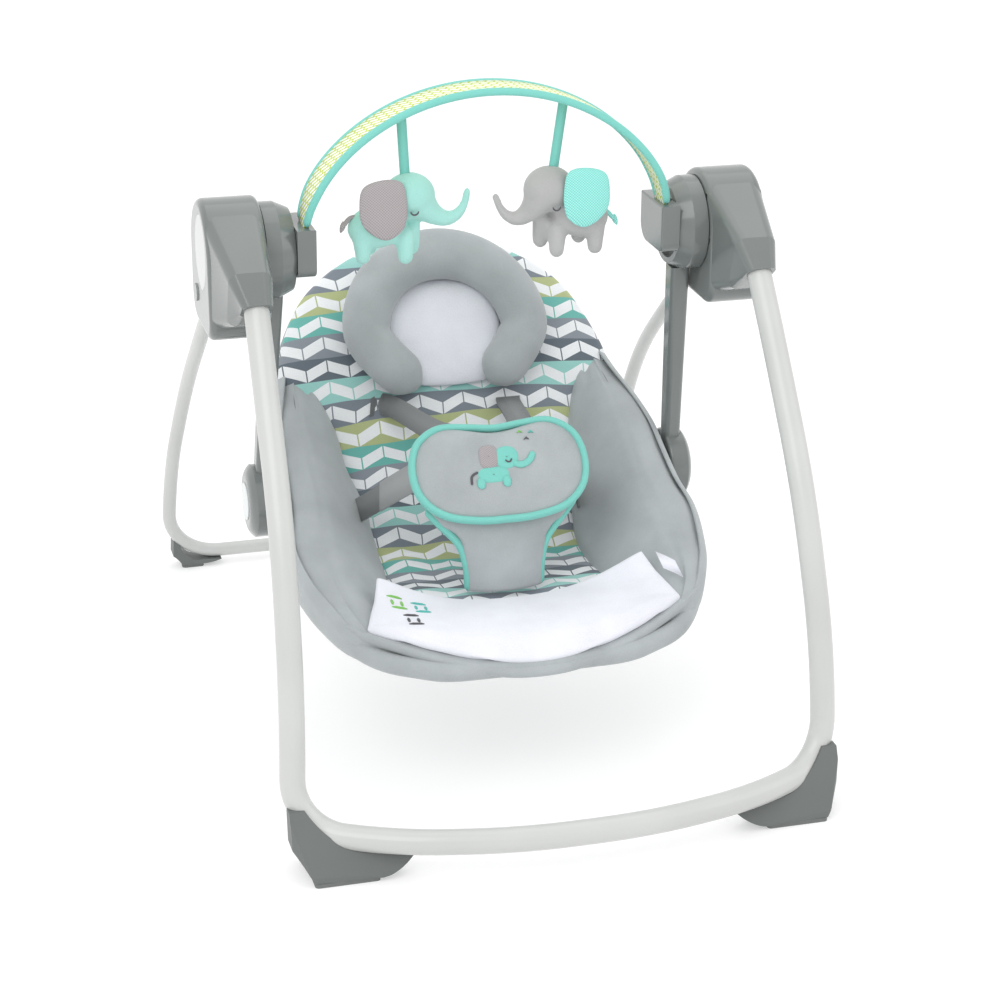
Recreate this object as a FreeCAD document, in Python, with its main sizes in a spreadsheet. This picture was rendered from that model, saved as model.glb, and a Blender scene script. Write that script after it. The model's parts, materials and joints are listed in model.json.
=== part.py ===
import FreeCAD, Part
import math
import os
from FreeCAD import Placement, Rotation, Vector
import Sketcher

# Portable baby swing. Millimetres, +Z up, the infant faces -Y, +X is the infant's left.
# Everything is laid out about the swing axis (y = 0 here) and every finished sub-part is then
# moved by "centre_shift", so that the origin is on the floor at the centre of the footprint.

doc = FreeCAD.newDocument("BabySwing")
sizes = doc.addObject("Spreadsheet::Sheet", "Sizes")

SIZES = {
    # overall layout
    "hub_height": 515.0, "front_reach": 402.0, "rear_reach": 416.0, "bar_height": 38.5,
    "rear_bar_height": 16.0, "front_corner_x": 270.0, "rear_corner_x": 282.0,
    # frame tubes
    "front_tube_radius": 12.4, "front_tube_wall": 1.2, "rear_tube_radius": 8.0, "rear_tube_wall": 1.0,
    # feet and their pads
    "foot_wall": 4.0, "sole_thickness": 4.0, "foot_gap": 0.3,
    # housings
    "housing_inner_x": 231.0, "housing_split_x": 257.0, "housing_outer_x": 291.0,
    "housing_radius": 56.0, "lobe_radius": 32.0, "housing_wall": 2.5, "socket_y": -128.0, "socket_drop": 22.0,
    # fold joint
    "fold_y": 24.0, "fold_drop": 46.0, "fold_pin_radius": 4.0, "knuckle_radius": 11.0,
    "knuckle_x": 266.0, "knuckle_width": 12.0, "pin_clearance": 0.05,
    # swing hub, shaft and arm
    "hub_inner_x": 200.0, "hub_outer_x": 230.0, "hub_radius": 49.0, "hub_nose_radius": 42.0,
    "hub_recess_radius": 36.0, "hub_recess_depth": 7.0, "shaft_radius": 8.0, "shaft_clearance": 0.05,
    "bush_wall": 3.0, "arm_top_x": 215.0, "arm_top_width": 26.0, "arm_foot_width": 20.0,
    "arm_thickness": 21.0, "arm_foot_radius": 39.0, "arm_foot_inner_x": 218.5, "arm_foot_outer_x": 238.0,
    "recline_y": 44.0, "recline_height": 228.0, "cap_outer_x": 245.0, "button_radius": 20.0,
    "button_clearance": 0.1, "stub_radius": 12.0,
    # seat
    "seat_tube_radius": 7.0, "sling_thickness": 4.0, "soft_gap": 1.0, "pad_depth": 26.0,
    "seat_tube_x": 203.0, "head_ring_radius": 84.0, "head_tube_radius": 22.0,
    # toy bar
    "bar_rise": 128.0, "bar_end_x": 188.0, "bar_width": 44.0, "sleeve_thickness": 5.0, "strip_thickness": 2.0,
    "bar_y": -19.0, "toy_thickness": 34.0,
    # battery and electronics
    "cell_radius": 13.1, "cell_length": 50.0, "power_button_radius": 6.0, "button_gap": 0.15,
}
for row, (alias, value) in enumerate(SIZES.items(), start=1):
    cell = "B%d" % row
    sizes.set("A%d" % row, alias)
    sizes.set(cell, str(value))
    sizes.setAlias(cell, alias)
doc.recompute()

SIDES = {"left": -1, "right": 1}
NODES = []


def val(alias):
    return float(getattr(sizes, alias))


def cell_refs(expression):
    """Turn bare alias names in an expression into references to the sheet."""
    words = []
    word = ""
    for ch in expression + " ":
        if ch.isalnum() or ch == "_":
            word += ch
            continue
        words.append("Sizes." + word if word in SIZES else word)
        words.append(ch)
        word = ""
    return "".join(words).strip()


def bind(obj, prop, expression):
    obj.setExpression(prop, cell_refs(str(expression)))


CENTRE_SHIFT = "((front_reach + front_tube_radius) - (rear_reach + rear_tube_radius + foot_wall)) / 2"


def finish_node(obj, label):
    """Register a finished sub-part and move it into the frame with its origin on the floor."""
    obj.Label = label
    own = [text for path, text in obj.ExpressionEngine if path.endswith("Placement.Base.y")]
    own_y = own[0] if own else repr(obj.Placement.Base.y)
    obj.setExpression("Placement.Base.y", "%s + (%s)" % (cell_refs(CENTRE_SHIFT), own_y))
    NODES.append(obj)
    return obj


def feature(label, shape):
    obj = doc.addObject("Part::Feature", label)
    obj.Shape = shape
    return finish_node(obj, label)


def cylinder_x(name, side, start, length, radius, y="0", z="hub_height"):
    """A cylinder whose axis is X: it starts at |x| = start and runs outward on its side."""
    obj = doc.addObject("Part::Cylinder", name)
    obj.Placement = Placement(Vector(0, 0, 0), Rotation(Vector(0, 1, 0), 90 * side))
    bind(obj, "Radius", radius)
    bind(obj, "Height", length)
    bind(obj, "Placement.Base.x", "%d * (%s)" % (side, start))
    bind(obj, "Placement.Base.y", y)
    bind(obj, "Placement.Base.z", z)
    return obj


def cone_x(name, side, start, length, radius_start, radius_end, y="0", z="hub_height"):
    obj = doc.addObject("Part::Cone", name)
    obj.Placement = Placement(Vector(0, 0, 0), Rotation(Vector(0, 1, 0), 90 * side))
    bind(obj, "Radius1", radius_start)
    bind(obj, "Radius2", radius_end)
    bind(obj, "Height", length)
    bind(obj, "Placement.Base.x", "%d * (%s)" % (side, start))
    bind(obj, "Placement.Base.y", y)
    bind(obj, "Placement.Base.z", z)
    return obj


def fuse(name, parts):
    obj = doc.addObject("Part::MultiFuse", name)
    obj.Shapes = parts
    return obj


def cut(name, base, tool):
    obj = doc.addObject("Part::Cut", name)
    obj.Base = base
    obj.Tool = tool
    return obj


def plane_of(body, role):
    return [f for f in body.Origin.OriginFeatures if f.Role == role][0]


def sketch_on(body, role, name):
    sketch = body.newObject("Sketcher::SketchObject", name)
    sketch.AttachmentSupport = [(plane_of(body, role), "")]
    sketch.MapMode = "FlatFace"
    return sketch


def add_rectangle(sketch, width, height, centre_x="0", centre_y="0"):
    """A rectangle with bound width and height, centred on a bound point of the sketch."""
    first = sketch.GeometryCount
    corners = [Vector(-1, -1, 0), Vector(1, -1, 0), Vector(1, 1, 0), Vector(-1, 1, 0)]
    for i in range(4):
        sketch.addGeometry(Part.LineSegment(corners[i], corners[(i + 1) % 4]))
    for i in range(4):
        sketch.addConstraint(Sketcher.Constraint("Coincident", first + i, 2, first + (i + 1) % 4, 1))
    for i, kind in enumerate(("Horizontal", "Vertical", "Horizontal", "Vertical")):
        sketch.addConstraint(Sketcher.Constraint(kind, first + i))
    sized = (
        ("DistanceX", first, 1, first, 2, width), ("DistanceY", first + 1, 1, first + 1, 2, height),
    )
    for kind, edge_a, end_a, edge_b, end_b, expression in sized:
        index = sketch.addConstraint(Sketcher.Constraint(kind, edge_a, end_a, edge_b, end_b, 2.0))
        bind(sketch, "Constraints[%d]" % index, expression)
    index = sketch.addConstraint(Sketcher.Constraint("DistanceX", -1, 1, first + 2, 1, 1.0))
    bind(sketch, "Constraints[%d]" % index, "(%s) + (%s) / 2" % (centre_x, width))
    index = sketch.addConstraint(Sketcher.Constraint("DistanceY", -1, 1, first + 2, 1, 1.0))
    bind(sketch, "Constraints[%d]" % index, "(%s) + (%s) / 2" % (centre_y, height))


def add_circle(sketch, radius, centre_x="0", centre_y="0"):
    index = sketch.addGeometry(Part.Circle(Vector(1, 1, 0), Vector(0, 0, 1), 1))
    for kind, expression in (("DistanceX", centre_x), ("DistanceY", centre_y)):
        number = sketch.addConstraint(Sketcher.Constraint(kind, -1, 1, index, 3, 1.0))
        bind(sketch, "Constraints[%d]" % number, expression)
    number = sketch.addConstraint(Sketcher.Constraint("Radius", index, 1.0))
    bind(sketch, "Constraints[%d]" % number, radius)


def padded(body, sketch, name, length, offset="0"):
    """Pad a sketch and, where the profile isn't at the plane, lift the sketch by an offset."""
    pad = body.newObject("PartDesign::Pad", name)
    pad.Profile = sketch
    bind(pad, "Length", length)
    bind(sketch, "AttachmentOffset.Base.z", offset)
    sketch.Visibility = False
    return pad


# ---------------------------------------------------------------- paths and outlines

def rounded_path(points, share=0.46, radii=None):
    """A wire of straight runs joined by tangent arcs through the bends of a 3-D polyline."""
    radii = radii or {}
    edges = []
    last = points[0]
    for i in range(1, len(points) - 1):
        before = points[i - 1] - points[i]
        after = points[i + 1] - points[i]
        turn = math.pi - before.getAngle(after)
        reach = share * min(before.Length, after.Length)
        if i in radii:
            reach = min(radii[i] * math.tan(turn / 2), 0.49 * min(before.Length, after.Length))
        start = points[i] + Vector(before).normalize() * reach
        end = points[i] + Vector(after).normalize() * reach
        radius = reach / math.tan(turn / 2)
        bisector = (Vector(before).normalize() + Vector(after).normalize()).normalize()
        centre = points[i] + bisector * (radius / math.cos(turn / 2))
        middle = centre - bisector * radius
        if (start - last).Length > 1e-6:
            edges.append(Part.LineSegment(last, start).toShape())
        edges.append(Part.Arc(start, middle, end).toShape())
        last = end
    edges.append(Part.LineSegment(last, points[-1]).toShape())
    return Part.Wire(edges)


def pipe(path, radius, wall=None):
    """Sweep a disc along a path, hollow where a wall is given."""
    start = path.Edges[0].valueAt(path.Edges[0].FirstParameter)
    tangent = path.Edges[0].tangentAt(path.Edges[0].FirstParameter)
    rod = path.makePipe(Part.Face(Part.Wire(Part.Circle(start, tangent, radius).toShape())))
    return rod.cut(pipe(path, radius - wall)) if wall else rod


def mirrored(points):
    return [Vector(-p.x, p.y, p.z) for p in reversed(points)]


def side_shape(shape, side):
    """A shape built on the +X side, mirrored for the left."""
    if side > 0:
        return shape
    return shape.mirror(Vector(0, 0, 0), Vector(1, 0, 0))


def fillet_safe(shape, radius, chooser):
    edges = [e for e in shape.Edges if chooser(e)]
    return shape.makeFillet(radius, edges) if edges else shape


HUB_Z = val("hub_height")

# ---------------------------------------------------------------- front frame tube

FRONT_R = val("front_tube_radius")
BAR_Z = val("bar_height")
SOCKET = Vector(256.5, val("socket_y"), HUB_Z - val("socket_drop"))
FRONT_X = val("front_corner_x")
FRONT_Y = -val("front_reach")
LEG_TOP = SOCKET + Vector(-0.2, 5, 6.2)
FRONT_LEG = [
    LEG_TOP,
    SOCKET + Vector(1.5, -42, -55),
    SOCKET + Vector(4.5, -135, -183),
    Vector(FRONT_X - 3.5, FRONT_Y + 84, 165),
    Vector(FRONT_X + 1, FRONT_Y + 74, BAR_Z),
    Vector(0.66 * FRONT_X, FRONT_Y + 24, BAR_Z),
    Vector(0.24 * FRONT_X, FRONT_Y, BAR_Z),
]
front_path = rounded_path(FRONT_LEG + mirrored(FRONT_LEG), radii={4: 88, 9: 88})
feature("front_frame_tube", pipe(front_path, FRONT_R, val("front_tube_wall")))

# ---------------------------------------------------------------- rear frame tube

REAR_R = val("rear_tube_radius")
REAR_X = val("rear_corner_x")
REAR_Y = val("rear_reach")
REAR_Z = val("rear_bar_height")
FOLD = Vector(val("knuckle_x"), val("fold_y"), HUB_Z - val("fold_drop"))
KNUCKLE_OUT = Vector(0, 0.86, -0.51)
REAR_TOP = FOLD + KNUCKLE_OUT * 14
REAR_LEG = [
    REAR_TOP,
    FOLD + Vector(0, 62, -28),
    Vector(REAR_X - 12, REAR_Y - 135, 280),
    Vector(REAR_X - 3, REAR_Y - 38, 145),
    Vector(REAR_X, REAR_Y, REAR_Z),
]
rear_path = rounded_path(REAR_LEG + mirrored(REAR_LEG), radii={4: 62, 5: 62})
feature("rear_frame_tube", pipe(rear_path, REAR_R, val("rear_tube_wall")))

# ---------------------------------------------------------------- feet

SOLE = val("sole_thickness")
GAP = val("foot_gap")


class FootShape:
    """A foot's outlines, as offsets in x and y from the tube's bent corner and heights above the floor."""

    def __init__(self, corner, radius, path, bow, out, toe, plan, lean):
        self.corner = corner
        self.groove = pipe(path, radius + GAP)
        self.under = corner.z - radius
        self.rise = corner.z + bow
        self.out = out
        self.toe = toe
        self.plan = plan
        self.lean = lean

    def x(self, offset):
        return self.corner.x + offset

    def side_view(self):
        """Outer edge, rounded bottom corner, flat sole, round toe, then up the bend under the tube."""
        top, low, flat = self.out
        toe = self.toe
        span = top - flat
        spots = [
            Vector(self.x(top), 0, self.rise), Vector(self.x(low), 0, 0.45 * self.rise),
            Vector(self.x(0.35 * low + 0.65 * flat), 0, SOLE + 0.16 * self.rise), Vector(self.x(flat), 0, SOLE),
            Vector(self.x(0.68 * toe), 0, SOLE), Vector(self.x(0.9 * toe), 0, 0.5 * (SOLE + self.under)),
            Vector(self.x(toe), 0, self.under), Vector(self.x(0.62 * toe), 0, self.under + 1.5),
            Vector(self.x(0.3 * toe), 0, self.under + 0.34 * (self.rise - self.under)),
            Vector(self.x(top - 0.85 * span), 0, self.rise),
        ]
        return Part.Wire([
            Part.LineSegment(spots[0], spots[1]).toShape(),
            Part.Arc(spots[1], spots[2], spots[3]).toShape(),
            Part.LineSegment(spots[3], spots[4]).toShape(),
            Part.Arc(spots[4], spots[5], spots[6]).toShape(),
            Part.LineSegment(spots[6], spots[7]).toShape(),
            Part.Arc(spots[7], spots[8], spots[9]).toShape(),
            Part.LineSegment(spots[9], spots[0]).toShape(),
        ])

    def body(self):
        upright = Part.Face(self.side_view()).extrude(Vector(0, 160, 0))
        upright.translate(Vector(0, self.corner.y - 80, 0))
        loop = [Vector(self.x(dx), self.corner.y + dy, 0) for dx, dy in self.plan]
        plan = Part.Face(Part.makePolygon(loop + [loop[0]])).extrude(Vector(0, 0, 120))
        plan = plan.makeFillet(6, [e for e in plan.Edges if e.Length > 119])
        front = [Vector(0, self.corner.y + dy, z) for dy, z in self.lean]
        leaning = Part.Face(Part.makePolygon(front + [front[0]])).extrude(Vector(500, 0, 0))
        solid = upright.common(plan).common(leaning).cut(self.groove)
        return max(solid.Solids, key=lambda piece: piece.Volume)

    def pad(self, margin):
        """The non-slip pad under the foot, on the floor."""
        low = min(dy for dx, dy in self.plan) + margin
        high = low + 0.62 * (max(dy for dx, dy in self.plan) - low)
        flat = self.out[2]
        pad = Part.makeBox(flat - 0.66 * self.toe, high - low, SOLE,
                           Vector(self.x(0.66 * self.toe), self.corner.y + low, 0))
        return pad.makeFillet(4, [e for e in pad.Edges if abs(e.Length - SOLE) < 0.01])


FEET = {
    "front": FootShape(
        FRONT_LEG[4], FRONT_R, front_path, 27.5, (6.0, 5.0, -12.0), -114.0,
        [(14, -10), (-9, -48), (-85, -51), (-122, -44), (-75, -15), (-9, 10)],
        [(-51, 0), (-51, 6), (-16, 68), (30, 68), (30, 0)]),
    "rear": FootShape(
        REAR_LEG[4], REAR_R, rear_path, 22.0, (-6.0, -5.0, -16.0), -64.0,
        [(2, -12), (2, 12), (-70, 12), (-70, -11)],
        [(-14, 0), (-14, 60), (10, 60), (15, 0)]),
}
for end, foot in FEET.items():
    for word, side in SIDES.items():
        feature("%s_foot_%s" % (end, word), side_shape(foot.body(), side))
    pad = foot.pad(2.0)
    feature("%s_soles" % end, Part.makeCompound([side_shape(pad, s) for s in SIDES.values()]))

# ---------------------------------------------------------------- housings

INNER_X = val("housing_inner_x")
SPLIT_X = val("housing_split_x")
OUTER_X = val("housing_outer_x")
WALL = val("housing_wall")
TOP_R = val("housing_radius")
LOBE_R = val("lobe_radius")
LEG_DIR = (LEG_TOP - FRONT_LEG[1]).normalize()
MOUTH = FRONT_R + GAP + WALL
LOBE_Z = FOLD.z


def hull_outline(circles):
    """Arcs and tangent lines round circles (y, z, radius), given anticlockwise seen along -X."""
    normals = []
    count = len(circles)
    for i, (y, z, radius) in enumerate(circles):
        next_y, next_z, next_radius = circles[(i + 1) % count]
        forward = Vector(0, next_y - y, next_z - z)
        rise = (radius - next_radius) / forward.Length
        forward.normalize()
        outward = Vector(0, forward.z, -forward.y)
        normals.append(outward * math.sqrt(1 - rise * rise) + forward * rise)
    edges = []
    for i, (y, z, radius) in enumerate(circles):
        centre = Vector(0, y, z)
        arrive = normals[i - 1]
        leave = normals[i]
        middle = (arrive + leave).normalize()
        if circles[i][2] == max(circle[2] for circle in circles):
            middle = middle * (1 if middle.z > 0 else -1)
        next_y, next_z, next_radius = circles[(i + 1) % count]
        end = centre + leave * radius
        edges.append(Part.Arc(centre + arrive * radius, centre + middle * radius, end).toShape())
        edges.append(Part.LineSegment(end, Vector(0, next_y, next_z) + leave * next_radius).toShape())
    return edges


CHIN_R = 24.0
COLUMN_CIRCLES = [
    (0.0, HUB_Z, TOP_R), (-TOP_R + CHIN_R - 3, LOBE_Z - LOBE_R + CHIN_R, CHIN_R), (FOLD.y, LOBE_Z, LOBE_R),
]


def column_outline(inset=0.0):
    """A housing's tall oval: a round top about the swing axis, a chin and a lobe about the fold pin."""
    return hull_outline([(y, z, radius - inset) for y, z, radius in COLUMN_CIRCLES])


def rounded_section(upper, lower, x_low, x_high, corner):
    """A rounded rectangle that spans x_low to x_high across and two side-view points in height."""
    rise = (upper - lower).normalize()
    across = Vector(1, 0, 0)
    spots = []
    for x, end, sx, sz in ((x_high, upper, 1, 1), (x_low, upper, -1, 1), (x_low, lower, -1, -1),
                           (x_high, lower, 1, -1)):
        tip = Vector(x, end.y, end.z)
        beside = tip - rise * (sz * corner)
        above = tip - across * (sx * corner)
        middle = tip - (rise * sz + across * sx) * (corner * (1 - math.sqrt(0.5)))
        spots.append((beside, middle, above) if sx == sz else (above, middle, beside))
    edges = []
    for i, (first, middle, last) in enumerate(spots):
        edges.append(Part.Arc(first, middle, last).toShape())
        edges.append(Part.LineSegment(last, spots[(i + 1) % 4][0]).toShape())
    return Part.Wire(edges)


def nose_body(wall=0.0):
    """The wedge that narrows from the column's full width to the square mouth round the leg."""
    across = Vector(0, -LEG_DIR.z, LEG_DIR.y).normalize()
    mouth = Vector(0, SOCKET.y, SOCKET.z) + Vector(0, LEG_DIR.y, LEG_DIR.z) * (4 if wall else 0)
    half = MOUTH - wall
    back = 3 * wall
    profile = [
        (Vector(0, -30 + back, HUB_Z + 47 - wall), Vector(0, -50 + back, LOBE_Z - 17 + wall),
         INNER_X, OUTER_X, 12.0),
        (Vector(0, -112, HUB_Z + 11.5 - wall), Vector(0, -92, HUB_Z - 48 + wall),
         INNER_X + 5.5, OUTER_X - 11, 11.0),
        (mouth + across * half, mouth - across * half, SOCKET.x - MOUTH, SOCKET.x + MOUTH, 9.0),
    ]
    sections = [rounded_section(upper, lower, x_low + wall, x_high - wall, corner - 0.6 * wall)
                for upper, lower, x_low, x_high, corner in profile]
    return Part.makeLoft(sections, True, True)


def block(edges, x_low, x_high):
    face = Part.Face(Part.Wire(edges))
    face.translate(Vector(x_low, 0, 0))
    return face.extrude(Vector(x_high - x_low, 0, 0))


def on_plane(edge, x):
    ends = [vertex.X for vertex in edge.Vertexes]
    return all(abs(end - x) < 0.01 for end in ends)


def housing_half(x_low, x_high, rounded_x, radius):
    """One half of a housing, hollow, open at the parting plane."""
    slab = Part.makeBox(x_high - x_low, 400, 400, Vector(x_low, -300, HUB_Z - 200))
    column = block(column_outline(), x_low, x_high)
    column = fillet_safe(column, radius, lambda e: on_plane(e, rounded_x))
    solid = column.fuse(nose_body().common(slab))
    low = x_low + (0 if x_low == SPLIT_X else WALL)
    high = x_high - (0 if x_high == SPLIT_X else WALL)
    hollow = block(column_outline(WALL + 1.5), low, high)
    hollow = hollow.fuse(nose_body(WALL).common(slab))
    return solid.cut(hollow)


leg_stub = Part.makeCylinder(FRONT_R + GAP, 102, LEG_TOP - LEG_DIR * 100, LEG_DIR)
SLOT_Y = FOLD.y - 21
knuckle_slot = Part.makeBox(18, 112, 62, Vector(SPLIT_X + 0.5, SLOT_Y, LOBE_Z - 54))
ALONG_X = Vector(1, 0, 0)


def rod_x(x_low, x_high, radius, y, z):
    return Part.makeCylinder(radius, x_high - x_low, Vector(x_low, y, z), ALONG_X)


PIN_R = val("fold_pin_radius")
PIN_START = INNER_X + WALL + 1
PIN_END = OUTER_X - 10
LATCH_R = 9.0
LATCH_FLOOR = OUTER_X - 8.6
BUSH_R = val("shaft_radius") + val("bush_wall")
shaft_hole = rod_x(INNER_X - 1, INNER_X + 20, BUSH_R, 0, HUB_Z)
pin_hole = rod_x(PIN_START, LATCH_FLOOR - 1, PIN_R, FOLD.y, FOLD.z)
latch_hole = rod_x(LATCH_FLOOR, OUTER_X + 5, LATCH_R + val("button_gap"), FOLD.y, FOLD.z)

SCREW_R = 1.5
SCREW_HEAD_R = 3.0
SCREW_END = SPLIT_X + 14
SCREW_PLACES = [(40.0, 30.0), (-34.0, 35.0), (-47.0, -8.0), (46.0, -23.0)]


def lens_face(x, grow=0.0):
    """A leaf-shaped outline on the housing's outer face: two arcs that meet at points."""
    low = Vector(x, -12, HUB_Z - 34 - grow)
    high = Vector(x, -12, HUB_Z + 44 + grow)
    back = Vector(x, 24 + grow, HUB_Z + 2)
    front = Vector(x, -40 - grow, HUB_Z + 8)
    return Part.Face(Part.Wire([Part.Arc(low, back, high).toShape(), Part.Arc(high, front, low).toShape()]))


LENS_THICKNESS = 1.6
LENS_GAP = 0.2
lens_pocket = lens_face(OUTER_X - LENS_THICKNESS, LENS_GAP).extrude(Vector(5, 0, 0))
inner_half = housing_half(INNER_X, SPLIT_X, INNER_X, 6)
outer_half = housing_half(SPLIT_X, OUTER_X, OUTER_X, 7)
inner_half = inner_half.fuse(rod_x(INNER_X + 1, SPLIT_X, 8, FOLD.y, FOLD.z))
outer_half = outer_half.fuse(rod_x(SPLIT_X + 19, OUTER_X - 1, LATCH_R + 3, FOLD.y, FOLD.z))
for y, dz in SCREW_PLACES:
    inner_half = inner_half.fuse(rod_x(INNER_X + 1, SPLIT_X, 4.5, y, HUB_Z + dz))
    outer_half = outer_half.fuse(rod_x(SPLIT_X, OUTER_X - 1, 4.5, y, HUB_Z + dz))
for y, dz in SCREW_PLACES:
    z = HUB_Z + dz
    inner_half = inner_half.cut(rod_x(INNER_X - 1, SPLIT_X + 1, SCREW_R + 0.1, y, z))
    inner_half = inner_half.cut(rod_x(INNER_X - 1, INNER_X + WALL, SCREW_HEAD_R + 0.2, y, z))
    outer_half = outer_half.cut(rod_x(SPLIT_X - 1, SCREW_END, SCREW_R, y, z))
inner_half = inner_half.cut(leg_stub).cut(shaft_hole).cut(pin_hole)
outer_half = outer_half.cut(leg_stub).cut(knuckle_slot).cut(latch_hole).cut(pin_hole).cut(lens_pocket)

# the battery opening, in the flat underside, and the button holes are in the right housing only
DOOR_LOW = LOBE_Z - LOBE_R
DOOR_X = (INNER_X + 8, OUTER_X - 9)
DOOR_Y = (-TOP_R + CHIN_R - 3, 3.0)
DOOR_THICKNESS = 2.4


def door_box(gap, low, height):
    return Part.makeBox(DOOR_X[1] - DOOR_X[0] + 2 * gap, DOOR_Y[1] - DOOR_Y[0] + 2 * gap, height,
                        Vector(DOOR_X[0] - gap, DOOR_Y[0] - gap, low))


PANEL_BUTTONS = {"power_button": (-8.0, 28.0), "speed_button": (-7.0, 6.0), "melody_button": (-8.0, -16.0)}
BUTTON_R = val("power_button_radius")
button_holes = [
    rod_x(OUTER_X - 8, OUTER_X + 5, BUTTON_R + val("button_gap"), y, HUB_Z + dz)
    for y, dz in PANEL_BUTTONS.values()
]
door_hole = door_box(0.2, DOOR_LOW - 1, WALL + 6)
for word, side in SIDES.items():
    inner_shell = inner_half
    outer_shell = outer_half
    if word == "right":
        inner_shell = inner_half.cut(door_hole)
        outer_shell = outer_half.cut(door_hole).cut(button_holes)
    feature("housing_inner_" + word, side_shape(inner_shell, side))
    feature("housing_outer_" + word, side_shape(outer_shell, side))

lens = lens_face(OUTER_X - LENS_THICKNESS).extrude(Vector(LENS_THICKNESS, 0, 0))
feature("badge_lens_left", side_shape(lens, -1))
feature("control_panel_right", lens.cut(button_holes))
feature("battery_door", door_box(0.0, DOOR_LOW, DOOR_THICKNESS))

# ---------------------------------------------------------------- fasteners, pins and bushes

screws = []
for side in SIDES.values():
    for y, dz in SCREW_PLACES:
        shank = rod_x(INNER_X + 0.4, SCREW_END - 1, SCREW_R, y, HUB_Z + dz)
        head = rod_x(INNER_X + 0.4, INNER_X + WALL - 0.1, SCREW_HEAD_R, y, HUB_Z + dz)
        screws.append(side_shape(shank.fuse(head).removeSplitter(), side))
feature("housing_screws", Part.makeCompound(screws))

fold_pin = rod_x(PIN_START, PIN_END, PIN_R, FOLD.y, FOLD.z)
feature("fold_pins", Part.makeCompound([side_shape(fold_pin, s) for s in SIDES.values()]))

bush = rod_x(INNER_X, INNER_X + 10, BUSH_R, 0, HUB_Z).fuse(
    rod_x(INNER_X + WALL, INNER_X + WALL + 2.5, BUSH_R + 4, 0, HUB_Z))
bush = bush.cut(rod_x(INNER_X - 1, INNER_X + 20, val("shaft_radius") + val("shaft_clearance"), 0, HUB_Z))
feature("shaft_bushes", Part.makeCompound([side_shape(bush, s) for s in SIDES.values()]))

# ---------------------------------------------------------------- rear leg knuckles

KNUCKLE_R = val("knuckle_radius")
KNUCKLE_LOW = FOLD.x - val("knuckle_width") / 2
KNUCKLE_HIGH = FOLD.x + val("knuckle_width") / 2
leg_run = REAR_LEG[1] - REAR_LEG[0]
sleeve_start = FOLD + KNUCKLE_OUT * 6
sleeve = Part.makeCylinder(REAR_R + 2.2, 42, sleeve_start, leg_run)
knuckle = rod_x(KNUCKLE_LOW, KNUCKLE_HIGH, KNUCKLE_R, FOLD.y, FOLD.z).fuse(sleeve)
trim = Part.makeBox(val("knuckle_width") + 4, 120, 120, Vector(KNUCKLE_LOW - 2, FOLD.y - 20, FOLD.z - 60))
knuckle = knuckle.common(trim).cut(pipe(rear_path, REAR_R))
knuckle = knuckle.cut(rod_x(KNUCKLE_LOW - 5, KNUCKLE_HIGH + 5, PIN_R + val("pin_clearance"), FOLD.y, FOLD.z))
knuckle = max(knuckle.Solids, key=lambda piece: piece.Volume)
for word, side in SIDES.items():
    feature("leg_knuckle_" + word, side_shape(knuckle, side))

# ---------------------------------------------------------------- buttons on the housings

for word, side in SIDES.items():
    latch = cylinder_x("latch_" + word, side, "housing_outer_x - 7", "8.5", LATCH_R, "fold_y",
                       "hub_height - fold_drop")
    finish_node(latch, "fold_button_" + word)
for name, (y, dz) in PANEL_BUTTONS.items():
    stem = cylinder_x(name + "_stem", 1, "housing_outer_x - 6.5", "8", "power_button_radius", y,
                      "hub_height + %s" % dz)
    finish_node(stem, name)

# ---------------------------------------------------------------- electronics and drive

board = doc.addObject("PartDesign::Body", "board_body")
board_sketch = sketch_on(board, "YZ_Plane", "board_outline")
add_rectangle(board_sketch, "50", "42", "-6", "hub_height + 7")
padded(board, board_sketch, "board_pad", "1.6", "housing_outer_x - 11")
finish_node(board, "circuit_board")

speaker = fuse("speaker_parts", [
    cylinder_x("speaker_cone", 1, "housing_split_x + 5", "6", "15", "34", "hub_height + 3"),
    cylinder_x("speaker_magnet", 1, "housing_split_x + 11", "5", "9", "34", "hub_height + 3"),
])
finish_node(speaker, "speaker")

coil = cut("coil_ring", cylinder_x("coil_outer", 1, "housing_split_x + 4", "10", "13", "0", "hub_height + 35"),
           cylinder_x("coil_core", 1, "housing_split_x + 3", "12", "4", "0", "hub_height + 35"))
finish_node(coil, "drive_coil")

cells = []
CELL_R = val("cell_radius")
for i in range(2):
    for j in range(2):
        centre_x = INNER_X + WALL + 0.6 + CELL_R + i * (2 * CELL_R + 0.4)
        centre_y = -TOP_R + 11 + CELL_R + j * (2 * CELL_R + 0.4)
        can = Part.makeCylinder(CELL_R, val("cell_length") - 2, Vector(centre_x, centre_y, DOOR_LOW + 6.5))
        nub = Part.makeCylinder(3.2, 2, Vector(centre_x, centre_y, DOOR_LOW + 4.5 + val("cell_length")))
        cells.append(can.fuse(nub).removeSplitter())
feature("battery_cells", Part.makeCompound(cells))

# ---------------------------------------------------------------- swing hubs, shafts and arms

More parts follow.
